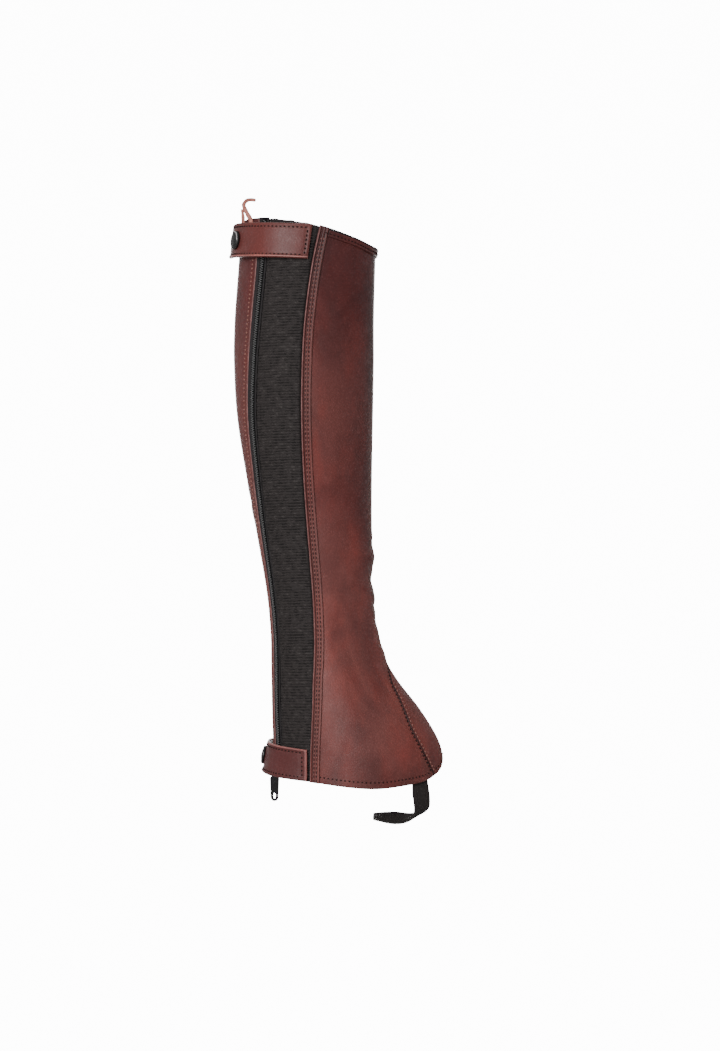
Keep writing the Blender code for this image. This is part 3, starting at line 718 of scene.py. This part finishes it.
def elastic_piece():
    """The ribbed elastic. Both long edges step down and run on under the leather and the zip's tape."""
    back_edge = zip_line(-FRONT_TAPE_WIDTH - SEAM)
    front_edge = side_line(SEAM)

    def lapped(edge, side):
        return lambda height: edge(height) + side * turn_for(edge(height), height, ELASTIC_LAP)

    rows = np.linspace(0.0, 1.0, int(433 / RIB_PITCH * RIB_ROWS) + 1)
    angle, height = wall_places(lapped(back_edge, 1), lapped(front_edge, -1), spaced(42.0, 1.6), rows)
    drift = 0.5 * np.sin(np.radians(angle * 3.0)) + 0.3 * np.sin(height / 23.0)
    ribs = 0.5 + 0.5 * np.cos((height + drift) / RIB_PITCH * 2 * math.pi)
    along = np.sin(angle * 7.3 + 2.1 * np.sin(height * 1.7))
    broken = 0.72 + 0.28 * along * np.sin(height * 0.9 + angle * 1.3)
    relief = RIB_DEPTH * broken * (ribs**0.7 - 1.0)
    from_edges = (
        (back_edge(height) - angle) * degree_length(angle, height),
        (angle - front_edge(height)) * degree_length(angle, height),
    )
    sideways = np.minimum(*from_edges)
    relief = relief * np.clip(sideways / 2.0, 0.0, 1.0) - 0.5 * bell(sideways / 2.4)
    relief = relief - 0.25 * bell((sideways - 3.0) / 1.0)
    relief = relief - 2.3 * np.clip(0.2 - sideways / 0.8, 0.0, 1.0)
    made = cloth(
        "elastic_web", [leg_point(angle, height, relief)], ELASTIC_SHELL,
        [ELASTIC] * 3 + [ELASTIC_SHADE] * 3 + [ELASTIC_HIGHLIGHT] * 3,
    )
    rib = np.round((height + drift) / RIB_PITCH)
    chance = scatter(rib, np.floor((angle + 9.0 * scatter(rib, 1.0)) / (1.6 + 1.6 * scatter(rib, 2.0))))
    # Painted shade in scattered rib hollows and along both edges, painted highlights on scattered rib tops.
    shaded_rib_gaps = (ribs < GAP_LEVEL) & (chance < 0.7)
    lit_rib_crests = (ribs > CREST_LEVEL) & (chance > 0.8)
    paint(made, [(shaded_rib_gaps, 3), (lit_rib_crests, 6), (sideways < 0.7, 3)])
    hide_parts("elastic_panel")


def across_profile(distance, width, table):
    """A strip's relief by distance from its back edge, from a table of ridges and grooves."""
    relief = edge_roll(np.minimum(distance, width - distance), 0.7, 0.5)
    for middle, half, depth in table:
        relief = relief + depth * bell((distance - middle) / half)
    return relief


SIDE_STITCHES = (3.3, 5.3)
SIDE_COLUMNS = (
    0, 0.2, 0.5, 0.9, 1.3, 1.6, 1.85, 2.05, 2.25, 2.5, 2.8, 3.1, 3.3, 3.5, 3.8, 4.3, 4.8, 5.1, 5.3, 5.5,
    5.8, 6.1, 6.4, 6.8, 7.1, 7.4, 7.6,
)


def side_strip_piece():
    """The strip on the side seam: a lit turned edge, a groove painted in shade, two rows of stitches sunk
    in painted shade, and a painted highlight along the raised outer edge.
    """
    columns = np.array(SIDE_COLUMNS)
    rows = spaced(WALL_HEIGHT, 1.1)
    angle, height = wall_places(side_angle, side_line(-BINDING_WIDTH), columns / BINDING_WIDTH, rows)
    distance = columns[None, :] + 0.0 * height
    ridges = ((0.7, 0.8, 0.55), (1.9, 0.5, -0.8), (6.7, 0.6, 0.25))
    grooves = tuple((place, 0.9, -0.5) for place in SIDE_STITCHES)
    relief = across_profile(distance, BINDING_WIDTH, ridges + grooves)
    puckers = np.sin((height + 0.9 * distance) / STITCH_PITCH * 2 * math.pi) * bell((distance - 4.3) / 2.6)
    out = GAP + BINDING_THICKNESS + relief + 0.10 * puckers
    slots = edged(LEATHER, LIT_EDGE, RIDGE_HIGHLIGHT_LEATHER, SHADED_LEATHER_EDGE)
    made = cloth("side_strip", [leg_point(angle, height, out)], BINDING_THICKNESS, slots)
    # Painted: a highlight on the turned edge, a highlight on the raised outer edge, and shade in the groove
    # and along both stitch rows.
    lines = np.minimum(*(np.abs(distance - place) for place in SIDE_STITCHES)) < 0.55
    groove = (distance > 1.5) & (distance < 2.3)
    paint(made, [(distance < 1.3, 3), (distance > 6.2, 6), (groove, 9), (lines, 9)])
    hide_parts("side_binding")
    strips = [made]
    for k, place in enumerate(SIDE_STITCHES):
        stitches = stitch_leg_row(
            f"side_stitches_{k}", side_line(-place), (6.0, 424.0),
            GAP + BINDING_THICKNESS - 0.3, THREAD_MID, 0.62,
        )
        strips.append(stitches)
    return strips


def edged(face, *accents):
    """Material slots of a shell: its face, inside and rim, and the same for each accent on its face."""
    slots = [face, SUEDE, LIT_EDGE]
    for accent in accents:
        slots += [accent, SUEDE, LIT_EDGE]
    return slots


def face_slots(shape, zones):
    """The material slot of each face of a grid, from maps over the grid's points."""
    slots = np.zeros((shape[0] - 1, shape[1] - 1), np.int32)
    for where, slot in zones:
        slots[where[:-1, :-1] & where[1:, 1:]] = slot
    return slots.reshape(-1)


def paint(piece, zones):
    piece.data.polygons.foreach_set("material_index", face_slots(zones[0][0].shape, zones))


TOP_BAND_GROOVE = 2.3
TOP_BAND_ROWS = (0, 0.2, 0.5, 0.9, 1.4, 2.0, 2.4, 2.8, 3.4, 4.2, 4.9, 5.4, 5.8, 6.1, 6.3, 6.4)
BLACK_LINE = 4.7


def top_band_piece():
    def band_end(height):
        return TOP_BAND_END_ANGLE + 0.0 * height

    binding_edge = side_line(-BINDING_WIDTH - SEAM)
    band_foot = top_line(-TOP_BAND_WIDTH)
    rows = np.array(TOP_BAND_ROWS) / TOP_BAND_WIDTH
    angle, height = wall_places(binding_edge, band_end, spaced(265.0, 1.8), rows, band_foot)
    distance = height - band_foot(angle)
    relief = across_profile(distance, TOP_BAND_WIDTH, ((TOP_BAND_GROOVE, 0.7, -0.3), (4.9, 1.4, 0.3)))
    share = distance / TOP_BAND_WIDTH
    out = GAP + TOP_BAND_THICKNESS + TOP_BAND_FLARE * share + relief
    slots = [LEATHER] * 2 + [FACING] * 4
    made = cloth("top_edge_band", [leg_point(angle, height, out)], TOP_BAND_THICKNESS, slots)
    paint(made, [(distance > BLACK_LINE, 3)])
    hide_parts("top_band")
    places = np.linspace(76.0, TOP_BAND_END_ANGLE + 3, 600)
    heights = top_height(places) - TOP_BAND_WIDTH + TOP_BAND_GROOVE
    out = GAP + TOP_BAND_THICKNESS + 0.2
    return [made, stitches_on("top_band_stitches", places, heights, out, THREAD_DARK, 0.5)]


def facing_piece():
    foot = top_line(-FACING_DEPTH)
    top = top_line(FACING_RISE)
    angle, height = wall_places(
        side_line(-SEAM), wrap_back_edge, spaced(280.0, 3.0), spaced(23.0, 2.0), foot, top,
    )
    edge = np.minimum(top(angle) - height, height - foot(angle))
    out = -LEATHER_THICKNESS - GAP + edge_roll(edge, 0.8, 0.35)
    made = cloth("top_lining_band", [leg_point(angle, height, out)], FACING_THICKNESS, [FACING] * 3)
    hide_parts("top_facing")


# Stitching
STITCH_PITCH = 3.3
STITCH_LENGTH = 0.64
STITCH_SIDES = 6
STITCH_AHEAD = 0.4
STITCH_RINGS = ((0.0, 0.15), (0.12, 0.75), (0.5, 1.0), (0.88, 0.75), (1.0, 0.15))


def stitches_mesh(name, points, normals, radius):
    """A row of stitches along a line of points. Each is a short rounded thread that dips at both ends."""
    pitch = STITCH_PITCH * MM
    length = pitch * STITCH_LENGTH
    radius = radius * MM
    steps = np.linalg.norm(np.diff(points, axis=0), axis=1)
    travelled = np.concatenate([[0.0], np.cumsum(steps)])
    count = int(travelled[-1] / pitch)

    def read(values, at):
        return np.array([np.interp(at, travelled, values[:, k]) for k in range(3)])

    verts, faces = [], []
    for start in (np.arange(count) + 0.5 * (1 - length / pitch)) * pitch:
        faces += tube_faces(len(STITCH_RINGS), STITCH_SIDES, len(verts))
        for place, swell in STITCH_RINGS:
            at = start + place * length
            normal = unit(read(normals, at))
            ahead = read(points, at + STITCH_AHEAD * MM) - read(points, at - STITCH_AHEAD * MM)
            side = unit(np.cross(unit(ahead), normal))
            centre = read(points, at) - normal * radius * 1.5 * (2 * place - 1) ** 2
            for i in range(STITCH_SIDES):
                turn = 2 * math.pi * i / STITCH_SIDES
                verts.append(centre + (side * math.cos(turn) + normal * math.sin(turn)) * radius * swell)
    return smooth_mesh(name, [tuple(v) for v in verts], faces)


def stitches_on(name, angles, heights, out, thread, radius):
    points = leg_point(angles, heights, out + np.zeros_like(angles))
    normals = leg_normal(angles, heights)
    return add_piece(name, stitches_mesh(name, points, normals, radius), [thread])


def stitch_leg_row(name, angle_at, span, out, thread, radius):
    heights = np.linspace(span[0], span[1], 500)
    return stitches_on(name, angle_at(heights), heights, out, thread, radius)


def panel_stitches():
    """Stitching on the wrap and gusset: along the zip, the hem and both sides of the gusset seam."""
    rows = [
        stitch_leg_row(
            "zip_edge_stitches", zip_line(BACK_TAPE_WIDTH + SEAM + ZIP_STITCH_LINE),
            (12.0, 436.0), 0.1, THREAD_LIGHT, 0.78,
        ),
    ]
    for name, low, high, count in (
        ("outer", 33.0, 121.0, 500), ("inner", -33.0, -200.0, 500), ("gusset", 26.0, -26.0, 160),
    ):
        angles = np.linspace(low, high, count)
        heights = hem_height(angles) + HEM_STITCH_LINE
        rows.append(stitches_on(f"hem_stitches_{name}", angles, heights, 0.1, THREAD_DARK, 0.62))
    for name, side in (("outer", 1.0), ("inner", -1.0)):
        for row, distance, top, thread in (
            ("wrap", SEAM_STITCH_LINE, 94.0, THREAD_DARK),
            ("gusset", -GUSSET_STITCH_LINE, 84.0, THREAD_LIGHT),
        ):
            rows.append(stitch_leg_row(
                f"gusset_stitches_{name}_{row}",
                lambda h, s=side, d=distance: s * (gusset_angle(h) + turn_for(gusset_angle(h), h, d)),
                (12.0, top), 0.1, thread, 0.6,
            ))
    return rows


# The zip. A tooth of the coil is a bar through these places across the chain, at these heights above it.
COIL_PITCH = 1.77
COIL_RADIUS = 0.44
COIL_SINK = 0.35
COIL_SIDES = 6
COIL_PROFILE = ((-1.5, 0.1), (-1.25, 0.5), (-0.6, 0.72), (-0.15, 0.68), (0.1, 0.35))
TAPE_GROOVE = 3.0
TAPE_GROOVE_FRONT = 2.6
TAPE_LAP = 0.8


def zip_tapes():
    def strip(start, end):
        rows = np.linspace(0, 1, 240)
        top = top_line(CHAIN_TOP_RISE)
        angle, height = wall_places(
            zip_line(start), zip_line(end), spaced(4.0, 0.6), rows, hem_height, top,
        )
        weave = 0.06 * np.sin(height * 4.0) * np.cos(angle * 9.0)
        off = np.abs(angle - zip_angle(height)) * degree_length(angle, height)
        # The groove beside the chain is sunk and painted in shade.
        groove = off < (TAPE_GROOVE if start > 0 else TAPE_GROOVE_FRONT)
        slots.append(face_slots(angle.shape, [(groove, 3)]))
        return leg_point(angle, height, -TAPE_SINK + weave - np.where(groove, 0.25, 0.0))

    half, slots = SEAM / 2, []
    grids = [strip(BACK_TAPE_WIDTH + TAPE_LAP, half), strip(-half, -FRONT_TAPE_WIDTH)]
    made = cloth("zip_tapes", grids, TAPE_THICKNESS, [TAPE] * 3 + [TAPE_GROOVE_SHADE] * 3)
    made.data.polygons.foreach_set("material_index", np.concatenate(slots))
    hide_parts("zip_tape_front", "zip_tape_back")
    return made


def zip_chain():
    """Both rows of teeth: each is a short bar that runs in from one tape and hooks over the middle."""
    top = top_height(125.0) + CHAIN_TOP_RISE - 1.0
    count = int((top - CHAIN_FOOT) / COIL_PITCH)
    verts, faces = [], []
    for side in (1.0, -1.0):
        for i in range(count):
            height = CHAIN_FOOT + (i + (0.5 if side > 0 else 0.0)) * COIL_PITCH + 0.4
            angle = float(zip_angle(height))
            normal = leg_normal(angle, height)
            up = unit(leg_face(angle, height + 1) - leg_face(angle, height - 1))
            across = np.cross(up, normal)
            origin = to_metres(leg_face(angle, height))
            tooth = tube_faces(len(COIL_PROFILE), COIL_SIDES, len(verts))
            faces += [face[::-1] for face in tooth] if side > 0 else tooth
            for distance, lift in COIL_PROFILE:
                centre = origin + (across * distance * side + normal * (lift - COIL_SINK)) * MM
                for k in range(COIL_SIDES):
                    turn = 2 * math.pi * k / COIL_SIDES
                    ring = up * math.cos(turn) * COIL_RADIUS + normal * math.sin(turn) * COIL_RADIUS * 0.8
                    verts.append(centre + ring * MM)
    made = add_piece("zip_coils", smooth_mesh("zip_coils", [tuple(v) for v in verts], faces), [COIL])
    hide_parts("zip_chain")
    return made


def finish_metal():
    """The slider, pull tab and stud halves keep their shapes and get their finish and soft edges."""
    for name in ("zip_slider", "zip_pull_tab", "top_snap_stud", "bottom_snap_stud"):
        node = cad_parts[name]
        node.data.materials.clear()
        node.data.materials.append(BLACK_METAL)
        soft = node.modifiers.new("soft_edges", "BEVEL")
        soft.width = 0.0003
        soft.segments = 2
        soft.limit_method = "ANGLE"


# The straps
STRAP_STITCH_LINE = 3.0


def strap_point(strap, angle, up, out):
    """Points of a strap, out from its inner face. Up is 0 at its lower edge and 1 at its upper one."""
    sewn_angle = beside_side(strap.middle, strap.end_gap)
    along = (np.minimum(angle, strap.snap_angle) - sewn_angle) / (strap.free_angle - sewn_angle)
    height = strap.middle + strap.rise * along + (up - 0.5) * strap.width
    climb = np.clip((angle - sewn_angle) / (strap.lift_angle - sewn_angle), 0.0, 1.0)
    settled = np.clip((angle - STRAP_SETTLE_ANGLE) / (strap.snap_angle - STRAP_SETTLE_ANGLE), 0.0, 1.0)
    upper_lift = mix(strap.upper_lift, strap.settled_lift, settled)
    lift = mix(strap.sewn_lift, mix(strap.lower_lift, upper_lift, up), climb)
    return leg_point(angle, height, lift + out)


def strap_places(strap, columns, rows):
    """Angle, share of the width and distances to the edges, for a strap with a rounded free end."""
    across = np.asarray(columns)[None, :]
    up = np.asarray(rows)[:, None]
    sewn_height = strap.middle + (up - 0.5) * strap.width * STRAP_END_LEAN
    sewn_angle = beside_side(sewn_height, strap.end_gap)
    angle = mix(strap.free_angle, sewn_angle, across)
    free_height = strap.middle + strap.rise
    free_distance = (strap.free_angle - angle) / turn_for(strap.free_angle, free_height, 1.0)
    t = np.clip(1 - free_distance / STRAP_CORNER, 0.0, 1.0)
    inset = STRAP_CORNER * (1 - np.sqrt(1 - t**2))
    pulled = mix(inset, strap.width - inset, up) / strap.width
    return angle, pulled, free_distance


def strap_frame(strap, out):
    """The frame at the middle of a strap's press stud, out from the strap's inner face."""
    angle = strap.snap_angle
    along = strap_point(strap, angle - 1.0, 0.5, out) - strap_point(strap, angle + 1.0, 0.5, out)
    rise = strap_point(strap, angle, 0.6, out) - strap_point(strap, angle, 0.4, out)
    normal = Vector(np.cross(along, rise)).normalized()
    up = (Vector((0, 0, 1)) - normal * normal.z).normalized()
    frame_here = Matrix((up.cross(normal), up, normal)).transposed().to_4x4()
    return Matrix.Translation(Vector(strap_point(strap, angle, 0.5, out))) @ frame_here


def strap_piece(strap, length):
    columns = spaced(length, 1.4)
    rows = spaced(strap.width, 1.0)
    angle, up, free = strap_places(strap, columns, rows)
    distance_up = up * strap.width
    end = (1 - np.asarray(columns))[None, :] * length + 0.0 * up
    edge = np.minimum(np.minimum(distance_up, strap.width - distance_up), np.minimum(free, end))
    relief = edge_roll(edge, 1.3, 0.9) + 0.25 * bell((edge - 1.4) / 1.0)
    relief = relief - 0.45 * bell((edge - STRAP_STITCH_LINE) / 0.9)
    roll = 0.8 * bell((distance_up - 1.6) / 2.4)
    soft = 0.35 * np.sin(angle / 9.0) * bell((up - 0.5) / 0.6)
    out = STRAP_THICKNESS + relief + roll + soft
    made = cloth(
        strap.name + "_leather", [strap_point(strap, angle, up, out)], STRAP_THICKNESS,
        [STRAP_LEATHER, STRAP_LEATHER, LIT_EDGE, STRAP_EDGE_HIGHLIGHT, STRAP_LEATHER, LIT_EDGE],
    )
    # Painted highlight along a rolled edge and the end of each strap.
    if strap is TOP_STRAP:
        highlight_band = (distance_up > 0.6) & (distance_up < 2.3)
        highlight_end = end < 0.3
    else:
        highlight_band = strap.width - distance_up < 1.2
        highlight_end = end < 1.3
    paint(made, [(highlight_band, 3), (highlight_end, 3)])
    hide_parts(strap.name)
    inset = STRAP_STITCH_LINE / strap.width
    sewn_share = 1 - STRAP_STITCH_LINE / length
    lines = {
        "lower": (np.linspace(0.04, sewn_share, 300), np.full(300, inset)),
        "upper": (np.linspace(sewn_share, 0.04, 300), np.full(300, 1 - inset)),
        "end": (np.full(120, sewn_share), np.linspace(inset, 1 - inset, 120)),
    }
    for name, (across, rise) in lines.items():
        sewn = beside_side(strap.middle + (rise - 0.5) * strap.width * STRAP_END_LEAN, strap.end_gap)
        angles = mix(strap.free_angle, sewn, across)
        points = strap_point(strap, angles, rise, STRAP_THICKNESS + 0.1)
        normals = leg_normal(angles, strap.middle + 0.0 * angles)
        full_name = f"{strap.name}_stitches_{name}"
        mesh = stitches_mesh(full_name, points, normals, 0.72 if name == "end" else 0.55)
        add_piece(full_name, mesh, [THREAD_DARK])


TURNED_SIDES = 48
# The rings of the top cap's rim and the arc of them, in degrees, that carry a painted highlight.
CAP_HIGHLIGHT_ARC = (1, 3, 0.0, 100.0)
CAP_FOOT = -0.8
RIM_RADIUS = 5.85
DOME = (
    (0.0, 2.5), (2.0, 2.45), (3.8, 2.2), (5.0, 1.8), (5.6, 1.3), (5.75, 0.9), (5.75, CAP_FOOT),
    (0.0, CAP_FOOT),
)
RIM = (
    (RIM_RADIUS, CAP_FOOT), (RIM_RADIUS, 1.2), (6.1, 1.6), (6.5, 1.65), (6.9, 1.35), (CAP_RADIUS, 0.7),
    (CAP_RADIUS, CAP_FOOT), (RIM_RADIUS, CAP_FOOT),
)


def turned(name, profile, place, materials, painted_highlight=None):
    """A round piece from a profile of radius and height, from its top down its outer side. A painted
    highlight gives the second material, a pale painted highlight, to some rings of the profile over an arc,
    in degrees."""
    verts = []
    for radius, height in profile:
        for k in range(TURNED_SIDES):
            turn = 2 * math.pi * k / TURNED_SIDES
            verts.append((radius * math.cos(turn) * MM, radius * math.sin(turn) * MM, height * MM))
    mesh = smooth_mesh(name, verts, ring_faces(len(profile), TURNED_SIDES))
    if painted_highlight:
        first, last, low, high = painted_highlight
        for i, face in enumerate(mesh.polygons):
            here = 360.0 * (i % TURNED_SIDES + 0.5) / TURNED_SIDES
            face.material_index = int(first <= i // TURNED_SIDES <= last and low <= here <= high)
    weld(mesh, 0.000001)
    mesh.transform(place)
    return add_piece(name, mesh, materials)


def snap_cap(strap):
    """A domed black cap with a raised black rim round it; on the top cap a pale crescent painted on the rim
    stands for a highlight.
    """
    place = strap_frame(strap, STRAP_THICKNESS + 0.8)
    base = strap.name.replace("strap", "snap")
    highlight_arc = CAP_HIGHLIGHT_ARC if strap is TOP_STRAP else None
    dome = turned(base + "_dome", DOME, place, [CAP_BLACK])
    rim = turned(base + "_rim", RIM, place, [CAP_BLACK, CAP_RIM_HIGHLIGHT], highlight_arc)
    for made in (dome, rim):
        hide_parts(strap.name.replace("strap", "snap_cap"))


# The foot strap, as in the frame
FOOT_STRAP_FRONT_ANGLE = 32.5
FOOT_STRAP_BACK_ANGLE = 48.5
FOOT_STRAP_SEWN_HEIGHTS = (24.0, 15.0, 6.5)
FOOT_STRAP_WIDTH = 17.0
FOOT_STRAP_THICKNESS = 1.8
FOOT_STRAP_CLEARANCE = 0.9
Station = namedtuple("Station", "place x y height turn tip")
FOOT_STRAP = (
    Station(0, 90.9, -22.6, -4.0, 38, 2),
    Station(1, 91.8, -21.2, -11.5, 42, 4),
    Station(2, 91.6, -18.4, -18.0, 48, 8),
    Station(3, 88.0, -15.2, -23.0, 57, 14),
    Station(4, 80.0, -11.8, -25.4, 67, 21),
    Station(5, 70.2, -9.0, -25.2, 76, 27),
    Station(6, 62.0, -7.4, -24.8, 82, 20),
    Station(7, 54.2, -6.6, -24.4, 86, 10),
)


def foot_strap_piece():
    shares = spaced(FOOT_STRAP_WIDTH, 0.8)
    places = np.linspace(0, len(FOOT_STRAP) - 1, 150)
    turn = np.radians(table_value(FOOT_STRAP, "turn", places))
    tip = np.radians(table_value(FOOT_STRAP, "tip", places))
    width = np.stack([np.cos(turn) * np.cos(tip), np.sin(turn) * np.cos(tip), np.sin(tip)], axis=-1)
    middle = np.stack([table_value(FOOT_STRAP, column, places) for column in ("x", "y", "height")], axis=-1)
    free = middle[:, None, :] + width[:, None, :] * (FOOT_STRAP_WIDTH * (0.5 - shares))[None, :, None]
    angles = mix(FOOT_STRAP_FRONT_ANGLE, FOOT_STRAP_BACK_ANGLE, shares)[None, :]
    heights = np.linspace(FOOT_STRAP_SEWN_HEIGHTS[0], FOOT_STRAP_SEWN_HEIGHTS[-1], 24)[:, None]
    sewn = leg_point(angles, heights, np.full((24, len(shares)), -LEATHER_THICKNESS - FOOT_STRAP_CLEARANCE))
    grid = np.concatenate([sewn, to_metres(free)])
    grid = smooth_rows(grid, 4)[::-1, ::-1]
    grid = evenly_along(grid, 260)
    along = np.linspace(0, 1, grid.shape[0])[:, None]
    normal = unit(np.cross(np.gradient(grid, axis=1), np.gradient(grid, axis=0)))
    weave = 0.10 * np.cos(along * 2 * math.pi * 70.0) + 0.05 * np.cos(shares[None, ::-1] * 2 * math.pi * 11)
    edge = np.minimum(shares, 1 - shares)[None, ::-1] * FOOT_STRAP_WIDTH
    grid = grid + normal * ((weave + edge_roll(edge, 1.0, 0.4)) * MM)[..., None]
    made = cloth("foot_strap_web", [grid], FOOT_STRAP_THICKNESS, [ELASTIC] * 3)
    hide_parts("foot_strap")


def smooth_rows(grid, rounds):
    """Softens a grid along its rows and leaves both ends where they are."""
    grid = grid.copy()
    for _ in range(rounds):
        grid[1:-1] = (grid[:-2] + 2 * grid[1:-1] + grid[2:]) / 4
    return grid


def evenly_along(grid, count):
    """The same sheet with its rows evenly spaced."""
    middle = grid[:, grid.shape[1] // 2]
    travelled = np.concatenate([[0.0], np.cumsum(np.linalg.norm(np.diff(middle, axis=0), axis=1))])
    wanted = np.linspace(0, travelled[-1], count)
    columns = [
        np.stack([np.interp(wanted, travelled, grid[:, c, k]) for k in range(3)], axis=-1)
        for c in range(grid.shape[1])
    ]
    return np.stack(columns, axis=1)


# The curled thong, as in the frame
Point = namedtuple("Point", "place angle height out")
THONG = (
    Point(0, 143.8, 430.0, 1.8),
    Point(1, 145.0, 437.0, 1.8),
    Point(2, 150.0, 442.3, 1.9),
    Point(3, 155.0, 446.7, 1.9),
    Point(4, 158.3, 450.0, 1.6),
    Point(5, 154.5, 452.7, 1.2),
    Point(6, 148.0, 453.4, 0.8),
    Point(7, 141.0, 452.6, 0.6),
)
THONG_TAIL = (
    Point(0, 157.2, 431.0, 1.8),
    Point(1, 158.7, 437.5, 1.8),
    Point(2, 160.2, 442.8, 1.8),
    Point(3, 162.0, 446.8, 1.7),
)


THONG_SIDES = 14


def thong_piece(name, points, radius, replaced):
    places = np.linspace(0, len(points) - 1, 60)
    route = leg_point(*[table_value(points, column, places) for column in ("angle", "height", "out")])
    tangent = unit(np.gradient(route, axis=0))
    outward = np.array([0.0, -1.0, 0.0])
    side = unit(np.cross(tangent, outward))
    normal = unit(np.cross(side, tangent))
    turns = np.linspace(0, 2 * math.pi, THONG_SIDES, endpoint=False)
    taper = mix(1.15, 0.8, places / places[-1])[:, None]
    dent = (1 - 0.38 * bell((turns - math.pi / 2) / 0.9))[None, :]
    wide = radius * MM * taper * dent * (1 + 0.06 * np.sin(places * 5.0))[:, None]
    ring = side[:, None, :] * (np.cos(turns)[None, :] * wide)[..., None]
    ring = ring + normal[:, None, :] * (np.sin(turns)[None, :] * wide * 0.85)[..., None]
    grid = route[:, None, :] + ring
    mesh = smooth_mesh(name, grid.reshape(-1, 3).tolist(), tube_faces(len(places), THONG_SIDES))
    made = add_piece(name, mesh, [THONG_LEATHER])
    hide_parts(replaced)


# Camera, floor and light
PIXEL = 0.778
PHOTO_HEIGHT = 1051
PHOTO_CENTRE = (360.0, 525.5)
AXIS_PIXEL = 304.0
HEM_PIXEL = 785.5
CAMERA_DISTANCE = 3.0
SENSOR = 36.0


def set_camera():
    data = bpy.data.cameras.new("camera")
    data.sensor_width = SENSOR
    data.lens = SENSOR * CAMERA_DISTANCE / (PHOTO_HEIGHT * PIXEL * MM)
    camera = bpy.data.objects.new("camera", data)
    bpy.context.scene.collection.objects.link(camera)
    across = (PHOTO_CENTRE[0] - AXIS_PIXEL) * PIXEL * MM
    height = ((HEM_PIXEL - PHOTO_CENTRE[1]) * PIXEL - ORIGIN_HEIGHT) * MM
    camera.location = (across, -CAMERA_DISTANCE, height)
    camera.rotation_euler = (math.pi / 2, 0.0, 0.0)
    bpy.context.scene.camera = camera


FLOOR_Z = -0.95
FLOOR_REACH = 2.2
FLOOR_BEND = 1.2
FLOOR_SIDES = 96
WALL_TOP = 5.0
PAPER_GLOW = 13.0
PAPER_BASE = 0.15


def set_stage():
    """A pale floor that curves up into a backdrop on every side, with the paper lit behind the object."""
    profile = [(0.0, 0.0), (FLOOR_REACH, 0.0)]
    for i in range(1, 13):
        turn = math.radians(90 * i / 12)
        profile.append((FLOOR_REACH + FLOOR_BEND * math.sin(turn), FLOOR_BEND * (1 - math.cos(turn))))
    profile.append((FLOOR_REACH + FLOOR_BEND, WALL_TOP))
    verts = []
    for radius, height in profile:
        for k in range(FLOOR_SIDES):
            turn = 2 * math.pi * k / FLOOR_SIDES
            verts.append((radius * math.cos(turn), radius * math.sin(turn), FLOOR_Z + height))
    mesh = smooth_mesh("studio_floor", verts, ring_faces(len(profile), FLOOR_SIDES))
    floor = bpy.data.objects.new("studio_floor", mesh)
    s = Shader("studio_paper", (0.32, 0.32, 0.32), 0.9)
    behind = s.span(s.axis("Y"), 2.1, 2.5)
    sideways = s.span(s.math("ABSOLUTE", s.axis("X"), 0.0), 1.0, 0.7)
    below = s.span(s.axis("Z"), 1.1, 0.8)
    lit = s.math("MULTIPLY", behind, s.math("MULTIPLY", sideways, below))
    glow = s.span(lit, 0.0, 1.0, PAPER_BASE, PAPER_GLOW)
    s.set(Specular_IOR_Level=0.0, Emission_Color=(1.0, 1.0, 1.0), Emission_Strength=glow)
    mesh.materials.append(s.material)
    bpy.context.scene.collection.objects.link(floor)


Lamp = namedtuple("Lamp", "name place target size power")
LAMPS = (
    Lamp("key_left", (-0.9, -2.3, 0.5), (0.0, 0.0, -0.1), 1.3, 77.0),
    Lamp("back", (0.5, 2.0, 1.3), (0.0, 0.0, -0.1), 1.2, 26.0),
    Lamp("top", (0.0, -0.3, 2.0), (0.0, 0.0, 0.0), 1.6, 12.0),
)


WORLD_LIGHT = 0.3


def set_light():
    world = bpy.data.worlds.new("studio")
    world.use_nodes = True
    background = world.node_tree.nodes["Background"].inputs
    background["Color"].default_value = (1.0, 1.0, 1.0, 1.0)
    background["Strength"].default_value = WORLD_LIGHT
    bpy.context.scene.world = world
    for lamp in LAMPS:
        data = bpy.data.lights.new(lamp.name, "AREA")
        data.energy = lamp.power
        data.size = lamp.size
        made = bpy.data.objects.new(lamp.name, data)
        made.location = lamp.place
        aim = Vector(lamp.target) - Vector(lamp.place)
        made.rotation_euler = aim.to_track_quat("-Z", "Y").to_euler()
        bpy.context.scene.collection.objects.link(made)


set_camera()
set_stage()
set_light()
wrap = wrap_piece()
gusset_piece()
elastic_piece()
facing_piece()
trims = side_strip_piece() + top_band_piece() + panel_stitches()
zip_parts = [zip_tapes(), zip_chain()]
finish_metal()
strap_piece(TOP_STRAP, 82.0)
strap_piece(BOTTOM_STRAP, 62.0)
snap_cap(TOP_STRAP)
snap_cap(BOTTOM_STRAP)
foot_strap_piece()
thong_piece("thong_strand", THONG, 1.65, "top_thong")
thong_piece("thong_strand_tail", THONG_TAIL, 1.4, "top_thong_tail")
